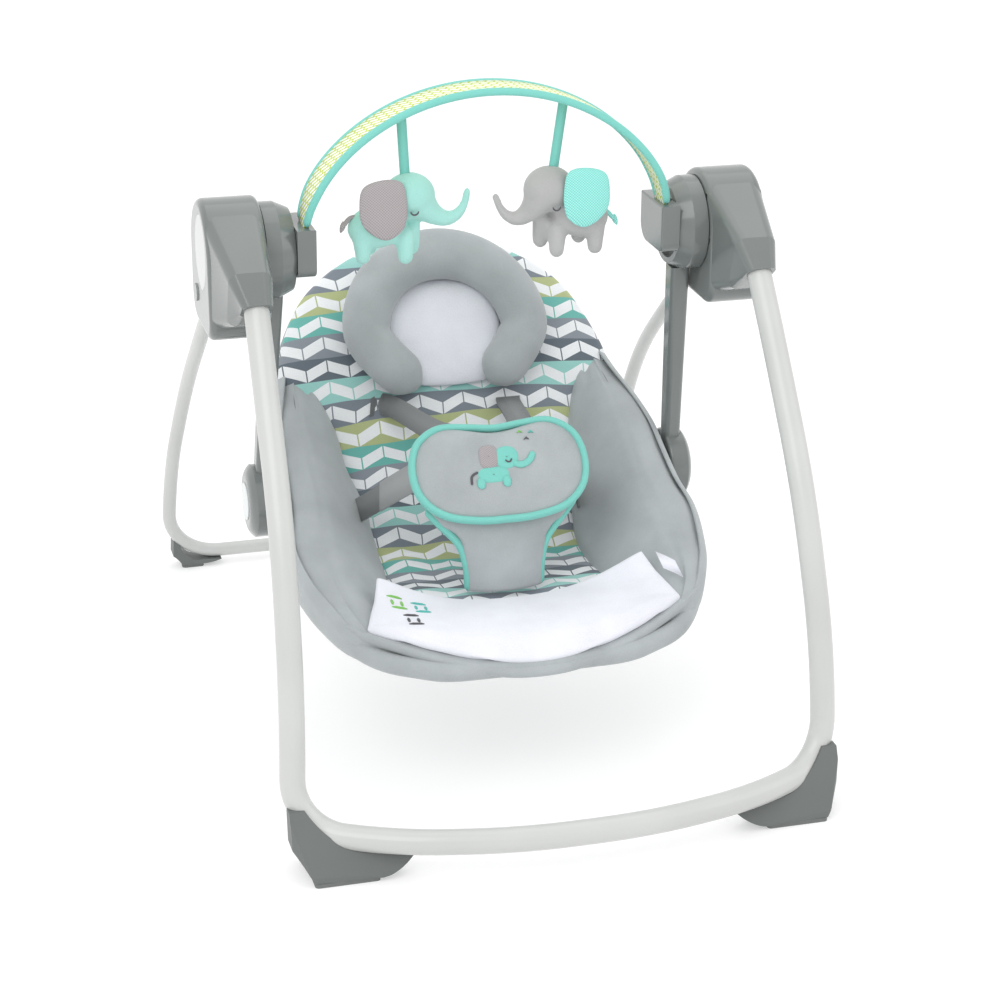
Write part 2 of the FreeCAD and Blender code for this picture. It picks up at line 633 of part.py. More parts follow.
shafts = []
for word, side in SIDES.items():
    rim = cylinder_x("hub_rim_" + word, side, "hub_outer_x - 15", "15", "hub_radius")
    nose = cone_x("hub_nose_" + word, side, "hub_inner_x", "hub_outer_x - 15 - hub_inner_x",
                  "hub_nose_radius", "hub_radius")
    recess = cylinder_x("hub_recess_" + word, side, "hub_inner_x - 1", "hub_recess_depth + 1",
                        "hub_recess_radius")
    stub_bore = cylinder_x("hub_stub_bore_" + word, side, "hub_inner_x", "hub_recess_depth + 6",
                           "10 + shaft_clearance")
    shaft_bore = cylinder_x("hub_shaft_bore_" + word, side, "hub_inner_x + hub_recess_depth + 7", "40",
                            "shaft_radius")
    solid = fuse("hub_solid_" + word, [rim, nose])
    hub = cut("hub_cut_" + word, solid, fuse("hub_bores_" + word, [recess, stub_bore, shaft_bore]))
    finish_node(hub, "hub_" + word)
    shafts.append(cylinder_x("shaft_bar_" + word, side, "hub_inner_x + hub_recess_depth + 7",
                             "housing_split_x - 1 - hub_inner_x - hub_recess_depth - 7", "shaft_radius"))
shaft_pair = doc.addObject("Part::Compound", "shaft_pair")
shaft_pair.Links = shafts
finish_node(shaft_pair, "swing_shafts")

PIVOT = Vector(0, val("recline_y"), val("recline_height"))
ARM_TOP = Vector(val("arm_top_x"), 0, HUB_Z)
ARM_LOW = Vector((val("arm_foot_inner_x") + val("arm_foot_outer_x")) / 2, PIVOT.y, PIVOT.z)
FOOT_IN = val("arm_foot_inner_x")
FOOT_OUT_X = val("arm_foot_outer_x")


def arm_section(share, width):
    """An oval-ended section of the swing arm at a share of the way from hub to recline pivot."""
    centre = ARM_TOP + (ARM_LOW - ARM_TOP) * share
    half_x = val("arm_thickness") / 2 - 2.0 * share
    half_y = width / 2
    corner = 5.0
    z = centre.z
    edges = []
    spots = [(half_x, half_y), (-half_x, half_y), (-half_x, -half_y), (half_x, -half_y)]
    for i, (dx, dy) in enumerate(spots):
        sx = math.copysign(1, dx)
        sy = math.copysign(1, dy)
        a = Vector(centre.x + dx, centre.y + dy - sy * corner, z)
        b = Vector(centre.x + dx - sx * corner, centre.y + dy, z)
        bulge = corner * (1 - math.sqrt(0.5))
        m = Vector(centre.x + dx - sx * bulge, centre.y + dy - sy * bulge, z)
        first, last = (a, b) if i % 2 == 0 else (b, a)
        edges.append((first, m, last))
    loop = []
    for i, (first, m, last) in enumerate(edges):
        loop.append(Part.Arc(first, m, last).toShape())
        loop.append(Part.LineSegment(last, edges[(i + 1) % 4][0]).toShape())
    return Part.Wire(loop)


arm_blade = Part.makeLoft([arm_section(0.0, val("arm_top_width")), arm_section(1.0, val("arm_foot_width"))],
                          True, True)
arm_disc = rod_x(FOOT_IN, FOOT_OUT_X, val("arm_foot_radius"), PIVOT.y, PIVOT.z)
arm_disc = fillet_safe(arm_disc, 3, lambda e: on_plane(e, FOOT_IN))
hub_relief = rod_x(190, INNER_X, val("hub_radius"), 0, HUB_Z)
hub_relief = hub_relief.fuse(Part.makeBox(60, 120, 60, Vector(190, -60, HUB_Z)))
arm = arm_blade.fuse(arm_disc).cut(hub_relief).removeSplitter()
STUB_R = val("stub_radius")
arm = arm.cut(rod_x(FOOT_IN - 5, FOOT_IN + 15, STUB_R + val("pin_clearance"), PIVOT.y, PIVOT.z))
button_pocket = rod_x(FOOT_OUT_X - 5.5, FOOT_OUT_X + 5, val("button_radius") + val("button_clearance"),
                      PIVOT.y, PIVOT.z)
arm = arm.cut(button_pocket)

CAP_OUT = val("cap_outer_x")


def cap_profile():
    """Half section of the domed cap, turned about the recline axis."""
    r = val("arm_foot_radius")
    bore = val("button_radius") + val("button_clearance")
    depth = CAP_OUT - FOOT_OUT_X
    low = Vector(FOOT_OUT_X, PIVOT.y, PIVOT.z)
    rim = low + Vector(0, 0, r)
    shoulder = low + Vector(depth * 0.75, 0, r * 0.82)
    crown = low + Vector(depth, 0, bore + 1.5)
    loop = [
        Part.LineSegment(low + Vector(0, 0, bore), rim).toShape(),
        Part.Arc(rim, shoulder, crown).toShape(),
        Part.LineSegment(crown, low + Vector(depth, 0, bore)).toShape(),
        Part.LineSegment(low + Vector(depth, 0, bore), low + Vector(0, 0, bore)).toShape(),
    ]
    return Part.Face(Part.Wire(loop))


cap = cap_profile().revolve(Vector(0, PIVOT.y, PIVOT.z), ALONG_X, 360)
for word, side in SIDES.items():
    feature("swing_arm_" + word, side_shape(arm, side))
    feature("recline_cap_" + word, side_shape(cap, side))
    button = cylinder_x("recline_push_" + word, side, "arm_foot_outer_x - 2.5",
                        "cap_outer_x - arm_foot_outer_x + 3.5", "button_radius", "recline_y", "recline_height")
    finish_node(button, "recline_button_" + word)

drive = doc.addObject("PartDesign::Body", "drive_body")
drive_sketch = sketch_on(drive, "YZ_Plane", "drive_outline")
add_rectangle(drive_sketch, "14", "46", "0", "hub_height + 20")
padded(drive, drive_sketch, "drive_pad", "6", "housing_inner_x + 13")
drive_hole = sketch_on(drive, "YZ_Plane", "drive_bore_outline")
add_circle(drive_hole, "shaft_radius", "0", "hub_height")
bind(drive_hole, "AttachmentOffset.Base.z", "housing_inner_x + 12")
doc.recompute()
bore_cut = drive.newObject("PartDesign::Pocket", "drive_bore")
bore_cut.Profile = drive_hole
bore_cut.Midplane = True
bind(bore_cut, "Length", "60")
collar = cut("drive_collar", cylinder_x("collar_outer", 1, "housing_inner_x + 13", "9", "shaft_radius + 5"),
             cylinder_x("collar_bore", 1, "housing_inner_x + 10", "20", "shaft_radius"))
finish_node(fuse("drive_parts", [drive, collar]), "drive_arm")
magnet = cylinder_x("magnet_disc", 1, "housing_inner_x + 19", "7", "8", "0", "hub_height + 35")
finish_node(magnet, "drive_magnet")

# ---------------------------------------------------------------- seat structure

SEAT_R = val("seat_tube_radius")
SEAT_X = val("seat_tube_x")
BACK_ANGLE = math.radians(54)
BACK_ORIGIN = Vector(0, 80, 236)
BACK_ALONG = Vector(0, math.cos(BACK_ANGLE), math.sin(BACK_ANGLE))
BACK_UP = Vector(0, -math.sin(BACK_ANGLE), math.cos(BACK_ANGLE))
TUBE_DROP = -28.0


def on_back(x, along, up):
    """A point given across the back, along it from the seat's crook, and up off its surface."""
    return BACK_ORIGIN + Vector(x, 0, 0) + BACK_ALONG * along + BACK_UP * up


back_half = [
    on_back(SEAT_X, -22, TUBE_DROP), on_back(SEAT_X - 7, 40, TUBE_DROP), on_back(SEAT_X - 35, 150, TUBE_DROP),
    on_back(SEAT_X - 79, 226, TUBE_DROP), on_back(0.29 * SEAT_X, 256, TUBE_DROP),
]
back_path = rounded_path(back_half + mirrored(back_half))
FRONT_RAIL = [(SEAT_X, 26.0), (SEAT_X + 3, -60.0), (SEAT_X - 9, -140.0), (SEAT_X - 43, -198.0),
              (SEAT_X - 113, -232.0)]
RAIL_SLOPE = 0.237
RAIL_Z = 192.9
front_half = [Vector(x, y, RAIL_Z + RAIL_SLOPE * y) for x, y in FRONT_RAIL]
front_rail_path = rounded_path(front_half + mirrored(front_half))
feature("seat_back_tube", pipe(back_path, SEAT_R, 1.2))
feature("seat_front_tube", pipe(front_rail_path, SEAT_R, 1.2))

BRACKET_OUT = FOOT_IN - 1
bracket_plate = rod_x(BRACKET_OUT - 2.5, BRACKET_OUT, 24, PIVOT.y, PIVOT.z)
block_outline = [(10, 186), (10, 204.5), (62, 212.5), (98, 212.5), (98, 192), (60, 186)]
block_corners = [Vector(SEAT_X - SEAT_R - 2, y, z) for y, z in block_outline]
bracket_block = Part.Face(Part.makePolygon(block_corners + [block_corners[0]]))
bracket_block = bracket_block.extrude(Vector(BRACKET_OUT - SEAT_X + SEAT_R + 2, 0, 0))
stub = rod_x(BRACKET_OUT, FOOT_IN + 14, STUB_R, PIVOT.y, PIVOT.z)
bracket = bracket_plate.fuse(bracket_block).fuse(stub).removeSplitter()
bracket = bracket.cut(pipe(back_path, SEAT_R)).cut(pipe(front_rail_path, SEAT_R))
bracket = max(bracket.Solids, key=lambda piece: piece.Volume)
for word, side in SIDES.items():
    feature("seat_bracket_" + word, side_shape(bracket, side))

# ---------------------------------------------------------------- soft seat

# Stations from the head end to the front lip: centre y and z on the seat's surface, tilt of the
# section in degrees, half width and height of the rim, height of the tube, half width of the pad.
STATIONS = [
    (222.5, 432.0, 54.0, 66.0, -8.0, -27.0, 40.0),
    (202.0, 404.0, 54.0, 138.0, -20.0, -27.0, 112.0),
    (170.0, 360.0, 54.0, 174.0, -20.0, -27.0, 148.0),
    (138.0, 316.0, 50.0, 190.0, 3.0, -29.0, 146.0),
    (108.0, 275.0, 45.0, 203.0, 32.0, -28.0, 134.0),
    (78.0, 233.0, 36.0, 209.0, 60.0, -28.0, 124.0),
    (48.0, 193.0, 32.0, 212.0, 80.0, 15.0, 118.0),
    (12.0, 162.0, 27.0, 215.0, 90.0, 33.0, 114.0),
    (-32.0, 150.0, 23.0, 221.0, 82.0, 34.0, 113.0),
    (-85.0, 151.0, 18.0, 217.0, 60.0, 21.0, 118.0),
    (-138.0, 157.0, 12.0, 205.0, 38.0, 3.0, 142.0),
    (-184.0, 160.0, 8.0, 180.0, 20.0, -12.0, 140.0),
    (-215.0, 156.0, 8.0, 122.0, 12.0, -15.0, 94.0),
]
PAD_DEPTH = val("pad_depth")
SLING = val("sling_thickness")
SOFT = val("soft_gap")
RAIL_GAP = SEAT_R + 1.2
SLING_INSET = 24.0


def station_point(i, x, height):
    y, z, tilt = STATIONS[i][:3]
    angle = math.radians(tilt)
    return Vector(x, y - math.sin(angle) * height, z + math.cos(angle) * height)


def sling_edge(i):
    """Half width of the sling, which stops just inside the seat tubes."""
    return STATIONS[i][3] - SLING_INSET


def sling_top(i, x):
    tube = STATIONS[i][5]
    share = min(abs(x) / sling_edge(i), 1.0)
    return -PAD_DEPTH + (tube + PAD_DEPTH) * share ** 2.5


def pad_top(i, x):
    share = min(abs(x) / STATIONS[i][6], 1.0)
    return sling_top(i, x) + PAD_DEPTH - 12 * share ** 4


def section(i, outline):
    points = [station_point(i, x, height) for x, height in outline]
    return Part.makePolygon(points + [points[0]])


def strip_outline(i, half_width, lower, upper):
    """A closed outline between two height functions across the seat."""
    across = [half_width * k / 8.0 for k in range(-8, 9)]
    return [(x, lower(i, x)) for x in across] + [(x, upper(i, x)) for x in reversed(across)]


def loft(outlines):
    return Part.makeLoft(outlines, True, True)


def sling_outline(i):
    return strip_outline(i, sling_edge(i), lambda k, x: sling_top(k, x) - SLING, sling_top)


def pad_outline(i):
    return strip_outline(i, STATIONS[i][6] - SOFT, lambda k, x: sling_top(k, x) + SOFT, pad_top)


def bolster_outline(i):
    width, rim, tube, inner = STATIONS[i][3:7]
    low = inner + SOFT
    edge = sling_edge(i)
    over_tube = max(tube + RAIL_GAP + 1, sling_top(i, edge) + SOFT)
    top = max(rim, over_tube + 14)
    foot = pad_top(i, inner)
    return [
        (low, sling_top(i, low) + SOFT), (0.5 * (low + edge), sling_top(i, 0.5 * (low + edge)) + SOFT),
        (edge - 3, sling_top(i, edge - 3) + SOFT), (edge - 1, over_tube), (width - 3, over_tube + 1),
        (width, 0.45 * over_tube + 0.55 * top), (width - 5, top - 4), (width - 20, top),
        (0.5 * (low + width) + 4, 0.42 * foot + 0.58 * top), (low + 8, foot + 5), (low, foot - 1),
    ]


def bib_outline(i):
    half = min(STATIONS[i][6] - SOFT, sling_edge(i) - 1)
    return strip_outline(i, half, lambda k, x: sling_top(k, x) + SOFT,
                         lambda k, x: sling_top(k, x) + PAD_DEPTH - 8 * min(abs(x) / half, 1.0) ** 4)


BIB_START = 10
feature("seat_cover", loft([section(i, sling_outline(i)) for i in range(len(STATIONS))]))
feature("seat_pad", loft([section(i, pad_outline(i)) for i in range(BIB_START)]))
bolster = loft([section(i, bolster_outline(i)) for i in range(3, 12)])
for word, side in SIDES.items():
    feature("bolster_" + word, side_shape(bolster, side))
feature("leg_rest", loft([section(i, bib_outline(i)) for i in range(BIB_START, len(STATIONS))]))

# ---------------------------------------------------------------- head support

RING_R = val("head_ring_radius")
RING_TUBE = val("head_tube_radius")
RING_ALONG = 140.0
RING_OPEN = 118.0
back_turn = Rotation(Vector(1, 0, 0), 54)
ring_up = RING_TUBE + 2.5
ring = doc.addObject("Part::Torus", "head_ring")
bind(ring, "Radius1", "head_ring_radius")
bind(ring, "Radius2", "head_tube_radius")
ring.Angle3 = 360 - RING_OPEN
ring.Placement = Placement(on_back(0, RING_ALONG, ring_up),
                           back_turn.multiply(Rotation(Vector(0, 0, 1), RING_OPEN / 2 - 90)))
ends = []
for i, turn in enumerate((RING_OPEN / 2 - 90, 270 - RING_OPEN / 2)):
    end = doc.addObject("Part::Sphere", "head_ring_end_%d" % i)
    bind(end, "Radius", "head_tube_radius")
    angle = math.radians(turn)
    end.Placement = Placement(
        on_back(RING_R * math.cos(angle), RING_ALONG + RING_R * math.sin(angle), ring_up), Rotation())
    ends.append(end)
finish_node(fuse("head_ring_parts", [ring] + ends), "head_support")
cushion = doc.addObject("Part::Cylinder", "cushion_disc")
bind(cushion, "Radius", "head_ring_radius - head_tube_radius - 3")
bind(cushion, "Height", "18")
cushion.Placement = Placement(on_back(0, RING_ALONG, 1.5), back_turn)
finish_node(cushion, "head_cushion")

# ---------------------------------------------------------------- belly pad and harness

BELLY = Vector(0, -78, 287)
BELLY_HALF = (90.0, 52.0)
BELLY_THICKNESS = 18.0


def ellipse_slab(centre, half_x, half_along, thickness):
    """A flat oval cushion lying parallel to the back."""
    oval = Part.Ellipse(Vector(0, 0, 0), half_x, half_along).toShape()
    solid = Part.Face(Part.Wire(oval)).extrude(Vector(0, 0, thickness))
    solid.Placement = Placement(centre - BACK_UP * (thickness / 2), back_turn)
    return solid


feature("belly_pad", ellipse_slab(BELLY, BELLY_HALF[0], BELLY_HALF[1], BELLY_THICKNESS))


def slab_between(low, low_half, high, high_half, thickness, normal):
    """A flat tapering strap between two points, with its broad face along a normal."""
    sections = []
    for centre, half in ((low, low_half), (high, high_half)):
        off = Vector(normal).normalize() * (thickness / 2)
        across = (high - low).cross(normal).normalize() * half
        corners = [centre - across - off, centre + across - off, centre + across + off, centre - across + off]
        sections.append(Part.makePolygon(corners + [corners[0]]))
    return Part.makeLoft(sections, True, True)


CROTCH_TOP = BELLY - BACK_ALONG * (BELLY_HALF[1] - 34) - BACK_UP * (BELLY_THICKNESS / 2 + 7)
CROTCH_LOW = Vector(0, -103, 164)
feature("crotch_pad", slab_between(CROTCH_LOW, 38, CROTCH_TOP, 62, 9, Vector(0, -0.97, 0.2)))

STRAP_HALF = 14.0
STRAP_THICKNESS = 2.4
shoulder_low = Vector(46, BELLY.y + 26, BELLY.z + 44)
shoulder_high = on_back(57, 70, 5)
shoulder_run = shoulder_high - shoulder_low
shoulder = slab_between(shoulder_low, STRAP_HALF, shoulder_high, STRAP_HALF, STRAP_THICKNESS,
                        Vector(0, -shoulder_run.z, shoulder_run.y))
waist_low = Vector(BELLY_HALF[0] + 2, BELLY.y + 12, BELLY.z - 8)
waist_high = Vector(112, 22, 205)
waist_run = waist_high - waist_low
waist = slab_between(waist_low, STRAP_HALF, waist_high, STRAP_HALF, STRAP_THICKNESS,
                     Vector(1, 0, 0).cross(waist_run).cross(waist_run))
feature("harness_straps", Part.makeCompound(
    [side_shape(strap, s) for s in SIDES.values() for strap in (shoulder, waist)]))

# ---------------------------------------------------------------- toy bar

BAR_Y = val("bar_y")
SOCKET_TOP = HUB_Z + 30
BAR_BASE_Z = SOCKET_TOP
BAR_STEPS = 24


def arch_point(turn, inset):
    """A point on the toy bar's centre line, moved inward by an inset; turn runs 0 to pi."""
    reach = val("bar_end_x") - inset
    rise = val("bar_rise") - inset
    return Vector(reach * math.cos(turn), 0, BAR_BASE_Z + rise * math.sin(turn) ** 1.2)


def arch_band(thickness, width, tail):
    """The bar as a closed band: outer and inner curves with straight tails into the sockets."""
    curves = []
    for inset in (-thickness / 2, thickness / 2):
        points = [arch_point(math.pi * k / BAR_STEPS, inset) for k in range(BAR_STEPS + 1)]
        points = [p for p in points if p.z > tail + 2]
        first = Vector(points[0].x, 0, tail)
        last = Vector(points[-1].x, 0, tail)
        curves.append([first] + points + [last])
    outer, inner = curves
    loop = outer + list(reversed(inner))
    face = Part.Face(Part.makePolygon(loop + [loop[0]]))
    face.translate(Vector(0, BAR_Y - width / 2, 0))
    return face.extrude(Vector(0, width, 0))


BAR_WIDTH = val("bar_width")
TAIL_Z = HUB_Z + 2
END_WIDTH = 28.0
strip = arch_band(val("strip_thickness"), BAR_WIDTH - 6, TAIL_Z)
taper = Part.makeBox(600, BAR_WIDTH * 2, 400, Vector(-300, BAR_Y - BAR_WIDTH, SOCKET_TOP + 8)).fuse(
    Part.makeBox(600, END_WIDTH, 400, Vector(-300, BAR_Y - END_WIDTH / 2, TAIL_Z - 5)))
strip = strip.common(taper)
sleeve_band = arch_band(val("sleeve_thickness"), BAR_WIDTH, SOCKET_TOP + 1)
sleeve_band = sleeve_band.cut(arch_band(val("strip_thickness") + 0.6, BAR_WIDTH - 5.4, TAIL_Z - 5))
feature("toy_bar", strip)
feature("toy_bar_sleeve", sleeve_band)

SOCKET_IN = val("hub_inner_x") - 20
block_face = [
    Part.LineSegment(Vector(0, -45, SOCKET_TOP), Vector(0, 25, SOCKET_TOP)).toShape(),
    Part.LineSegment(Vector(0, 25, SOCKET_TOP), Vector(0, 25, HUB_Z)).toShape(),
    Part.Arc(Vector(0, 25, HUB_Z), Vector(0, 18, HUB_Z - 15), Vector(0, 2, HUB_Z - 20)).toShape(),
    Part.LineSegment(Vector(0, 2, HUB_Z - 20), Vector(0, -35, HUB_Z - 20)).toShape(),
    Part.Arc(Vector(0, -35, HUB_Z - 20), Vector(0, -42, HUB_Z - 17), Vector(0, -45, HUB_Z - 10)).toShape(),
    Part.LineSegment(Vector(0, -45, HUB_Z - 10), Vector(0, -45, SOCKET_TOP)).toShape(),
]
socket_block = Part.Face(Part.Wire(block_face))
socket_block.translate(Vector(SOCKET_IN, 0, 0))
socket_block = socket_block.extrude(Vector(val("hub_inner_x") - 0.5 - SOCKET_IN, 0, 0))
socket_block = fillet_safe(socket_block, 2, lambda e: on_plane(e, SOCKET_IN))
socket_collar = rod_x(val("hub_inner_x") - 2, val("hub_inner_x") + val("hub_recess_depth") - 0.5, 18, 0, HUB_Z)
socket_stub = rod_x(val("hub_inner_x") - 2, val("hub_inner_x") + val("hub_recess_depth") + 5, 10, 0, HUB_Z)
slot_half = val("strip_thickness") / 2 + 0.3
slot = Part.makeBox(2 * slot_half, END_WIDTH + 0.6, 60,
                    Vector(val("bar_end_x") - slot_half, BAR_Y - END_WIDTH / 2 - 0.3, TAIL_Z - 0.5))
toy_socket = socket_block.fuse(socket_collar).fuse(socket_stub).removeSplitter().cut(slot)
for word, side in SIDES.items():
    feature("toy_socket_" + word, side_shape(toy_socket, side))

# ---------------------------------------------------------------- hanging toys

TOY_X = 84.0
TOY_TOP = 598.0
ELEPHANT = [
    (-52, -8), (-47, -52), (-58, -96), (-30, -97), (-24, -76), (4, -76), (8, -97), (30, -94), (27, -62),
    (34, -44), (58, -38), (70, -24), (66, -12), (54, -26), (36, -24), (28, -4), (2, 0), (-26, -10),
]


def toy_shape(facing):
    """A stuffed elephant seen from the side, with the ribbon that it hangs by."""
    points = [Vector(facing * x, 0, z) for x, z in ELEPHANT]
    face = Part.Face(Part.makePolygon(points + [points[0]]))
    thickness = val("toy_thickness")
    face.translate(Vector(0, BAR_Y - thickness / 2, TOY_TOP))
    body = face.extrude(Vector(0, thickness, 0))
    turn = math.acos(TOY_X / val("bar_end_x"))
    ribbon_top = arch_point(turn, val("sleeve_thickness") / 2 + 2.4).z - 1.5
    ribbon = Part.makeBox(8, 2.4, ribbon_top - TOY_TOP + 12, Vector(-4, BAR_Y - 1.2, TOY_TOP - 12))
    return body.fuse(ribbon).removeSplitter()


for word, side in SIDES.items():
    toy = toy_shape(-side)
    toy.translate(Vector(side * TOY_X, 0, 0))
    feature("toy_elephant_" + word, toy)

# ---------------------------------------------------------------- checks and files

doc.recompute()
for obj in doc.Objects:
    if "Invalid" in obj.State or "Error" in obj.State:
        raise RuntimeError("%s did not build: %s" % (obj.Label, obj.State))
os.makedirs("parts", exist_ok=True)
for obj in NODES:
    shape = obj.Shape
    if shape.isNull() or not shape.isValid() or not shape.Solids:
        raise RuntimeError("%s has no valid solid" % obj.Label)
    shape.exportStep(os.path.join("parts", obj.Label + ".step"))
print("%d sub-parts written" % len(NODES))
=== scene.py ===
import bpy
import bmesh
import json
import math
from mathutils import Matrix, Vector
from mathutils.bvhtree import BVHTree


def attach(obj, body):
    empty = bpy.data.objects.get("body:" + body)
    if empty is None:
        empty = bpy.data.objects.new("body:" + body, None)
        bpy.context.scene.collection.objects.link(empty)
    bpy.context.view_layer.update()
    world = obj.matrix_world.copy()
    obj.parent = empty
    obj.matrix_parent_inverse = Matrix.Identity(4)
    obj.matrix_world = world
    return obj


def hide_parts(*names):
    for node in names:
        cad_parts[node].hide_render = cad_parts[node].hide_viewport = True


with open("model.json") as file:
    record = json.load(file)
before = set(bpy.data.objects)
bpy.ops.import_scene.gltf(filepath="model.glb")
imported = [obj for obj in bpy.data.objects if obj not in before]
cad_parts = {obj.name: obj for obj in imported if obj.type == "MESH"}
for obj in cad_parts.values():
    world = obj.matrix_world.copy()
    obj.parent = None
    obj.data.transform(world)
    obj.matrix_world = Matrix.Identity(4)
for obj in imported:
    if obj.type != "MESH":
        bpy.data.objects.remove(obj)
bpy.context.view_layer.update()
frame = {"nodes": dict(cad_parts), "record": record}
NODES = frame["nodes"]

# Places are given in millimetres about the swing axis (y = 0, as in the CAD source) and turned
# into the frame's metres by at(), which also moves them to the centre of the footprint.
SHIFT_Y = -6.8


def at(x, y, z):
    return Vector((x, y + SHIFT_Y, z)) * 0.001


# ---------------------------------------------------------------- camera, floor and light

CAMERA_TURN, CAMERA_DOWN, CAMERA_ROLL = (math.radians(angle) for angle in (-15.52, 22.0, 0.48))
CAMERA_PLACE = (-642.5, -2394.8, 1224.2)
CAMERA_LENS = 90.02
SENSOR_WIDTH = 36


def add_camera():
    turn, down, roll = CAMERA_TURN, CAMERA_DOWN, CAMERA_ROLL
    right = Vector((math.cos(turn), math.sin(turn), 0))
    back = Vector((math.sin(turn) * math.cos(down), -math.cos(turn) * math.cos(down), math.sin(down)))
    up = back.cross(right)
    right, up = right * math.cos(roll) + up * math.sin(roll), up * math.cos(roll) - right * math.sin(roll)
    camera = bpy.data.objects.new("camera", bpy.data.cameras.new("camera"))
    camera.data.lens = CAMERA_LENS
    camera.data.sensor_width = SENSOR_WIDTH
    eye = at(*CAMERA_PLACE)
    camera.matrix_world = Matrix((
        (right.x, up.x, back.x, eye.x), (right.y, up.y, back.y, eye.y),
        (right.z, up.z, back.z, eye.z), (0, 0, 0, 1)))
    bpy.context.scene.collection.objects.link(camera)
    bpy.context.scene.camera = camera


def add_light(name, place, aim, size, watts, colour=(1, 1, 1)):
    data = bpy.data.lights.new(name, "AREA")
    data.size = size
    data.energy = watts
    data.color = colour
    light = bpy.data.objects.new(name, data)
    light.location = place
    light.rotation_euler = (Vector(aim) - Vector(place)).to_track_quat("-Z", "Y").to_euler()
    bpy.context.scene.collection.objects.link(light)


def new_material(name, roughness=0.5):
    material = bpy.data.materials.new(name)
    material.use_nodes = True
    shader = material.node_tree.nodes["Principled BSDF"]
    shader.inputs["Roughness"].default_value = roughness
    return material, material.node_tree, shader


def add_stage():
    scene = bpy.context.scene
    world = bpy.data.worlds.new("studio")
    world.use_nodes = True
    world.node_tree.nodes["Background"].inputs["Color"].default_value = (1, 1, 1, 1)
    world.node_tree.nodes["Background"].inputs["Strength"].default_value = 1.0
    scene.world = world
    scene.view_settings.view_transform = "Standard"
    mesh = bpy.data.meshes.new("floor")
    half = 12.0
    corners = [(-half, -half, 0), (half, -half, 0), (half, half, 0), (-half, half, 0)]
    mesh.from_pydata(corners, [], [(0, 1, 2, 3)])
    floor = bpy.data.objects.new("floor", mesh)
    scene.collection.objects.link(floor)
    material, tree, shader = new_material("floor_white", 0.6)
    shader.inputs["Base Color"].default_value = (0.6, 0.6, 0.6, 1)
    shader.inputs["Emission Color"].default_value = (1, 1, 1, 1)
    shader.inputs["Emission Strength"].default_value = 0.42
    mesh.materials.append(material)
    add_light("key", (-1.6, -1.8, 2.6), (0, 0, 0.3), 2.2, 30)
    add_light("fill", (2.4, -1.2, 1.8), (0, 0, 0.3), 2.0, 9)
    add_light("top", (0.2, 0.8, 3.0), (0, 0, 0.3), 2.4, 12)


add_camera()
add_stage()


# ---------------------------------------------------------------- materials

def link(tree, source, target):
    tree.links.new(source, target)


def add_node(tree, kind, **values):
    node = tree.nodes.new(kind)
    for key, value in values.items():
        setattr(node, key, value)
    return node


def maths(tree, operation, a, b=None, c=None):
    node = add_node(tree, "ShaderNodeMath", operation=operation)
    for socket, value in zip(node.inputs, (a, b, c)):
        if value is None:
            continue
        if isinstance(value, (int, float)):
            socket.default_value = value
        else:
            link(tree, value, socket)
    return node.outputs[0]


def texture(tree, kind, scale, coordinates, **sockets):
    node = tree.nodes.new(kind)
    node.inputs["Scale"].default_value = scale
    for key, value in sockets.items():
        node.inputs[key].default_value = value
    link(tree, coordinates, node.inputs["Vector"])
    return node


def object_space(tree):
    return add_node(tree, "ShaderNodeTexCoord").outputs["Object"]


def ramp(tree, factor, stops, interpolation="LINEAR"):
    node = add_node(tree, "ShaderNodeValToRGB")
    node.color_ramp.interpolation = interpolation
    elements = node.color_ramp.elements
    while len(elements) < len(stops):
        elements.new(0.5)
    for element, (place, colour) in zip(elements, stops):
        element.position = place
        element.color = (*colour, 1)
    link(tree, factor, node.inputs["Fac"])
    return node.outputs["Color"]


def mix(tree, factor, a, b):
    node = add_node(tree, "ShaderNodeMix", data_type="RGBA")
    if isinstance(factor, (int, float)):
        node.inputs[0].default_value = factor
    else:
        link(tree, factor, node.inputs[0])
    for socket, value in ((node.inputs[6], a), (node.inputs[7], b)):
        if isinstance(value, tuple):
            socket.default_value = (*value, 1)
        else:
            link(tree, value, socket)
    return node.outputs[2]


def bump(tree, shader, height, strength, distance):
    node = add_node(tree, "ShaderNodeBump")
    node.inputs["Strength"].default_value = strength
    node.inputs["Distance"].default_value = distance
    link(tree, height, node.inputs["Height"])
    link(tree, node.outputs["Normal"], shader.inputs["Normal"])


def tone(colour, share):
    return tuple(min(1.0, c * share) for c in colour)


def plush(name, colour, nap=0.16, sheen=0.35, pile=1400):
    """Short pile fabric: fine fibre bump, broad brushed patches and a soft sheen."""
    material, tree, shader = new_material(name, 0.95)
    space = object_space(tree)
    broad = texture(tree, "ShaderNodeTexNoise", 22, space, Detail=3.0).outputs["Fac"]
    fibre = texture(tree, "ShaderNodeTexNoise", pile, space, Detail=2.0).outputs["Fac"]
    blend = maths(tree, "MULTIPLY_ADD", fibre, 0.45, maths(tree, "MULTIPLY", broad, 0.55))
    shade = ramp(tree, blend, [(0.3, tone(colour, 1 - nap)), (0.7, tone(colour, 1 + nap))])
    link(tree, shade, shader.inputs["Base Color"])
    shader.inputs["Sheen Weight"].default_value = sheen
    shader.inputs["Sheen Roughness"].default_value = 0.5
    shader.inputs["Specular IOR Level"].default_value = 0.15
    bump(tree, shader, fibre, 0.35, 0.0012)
    return material


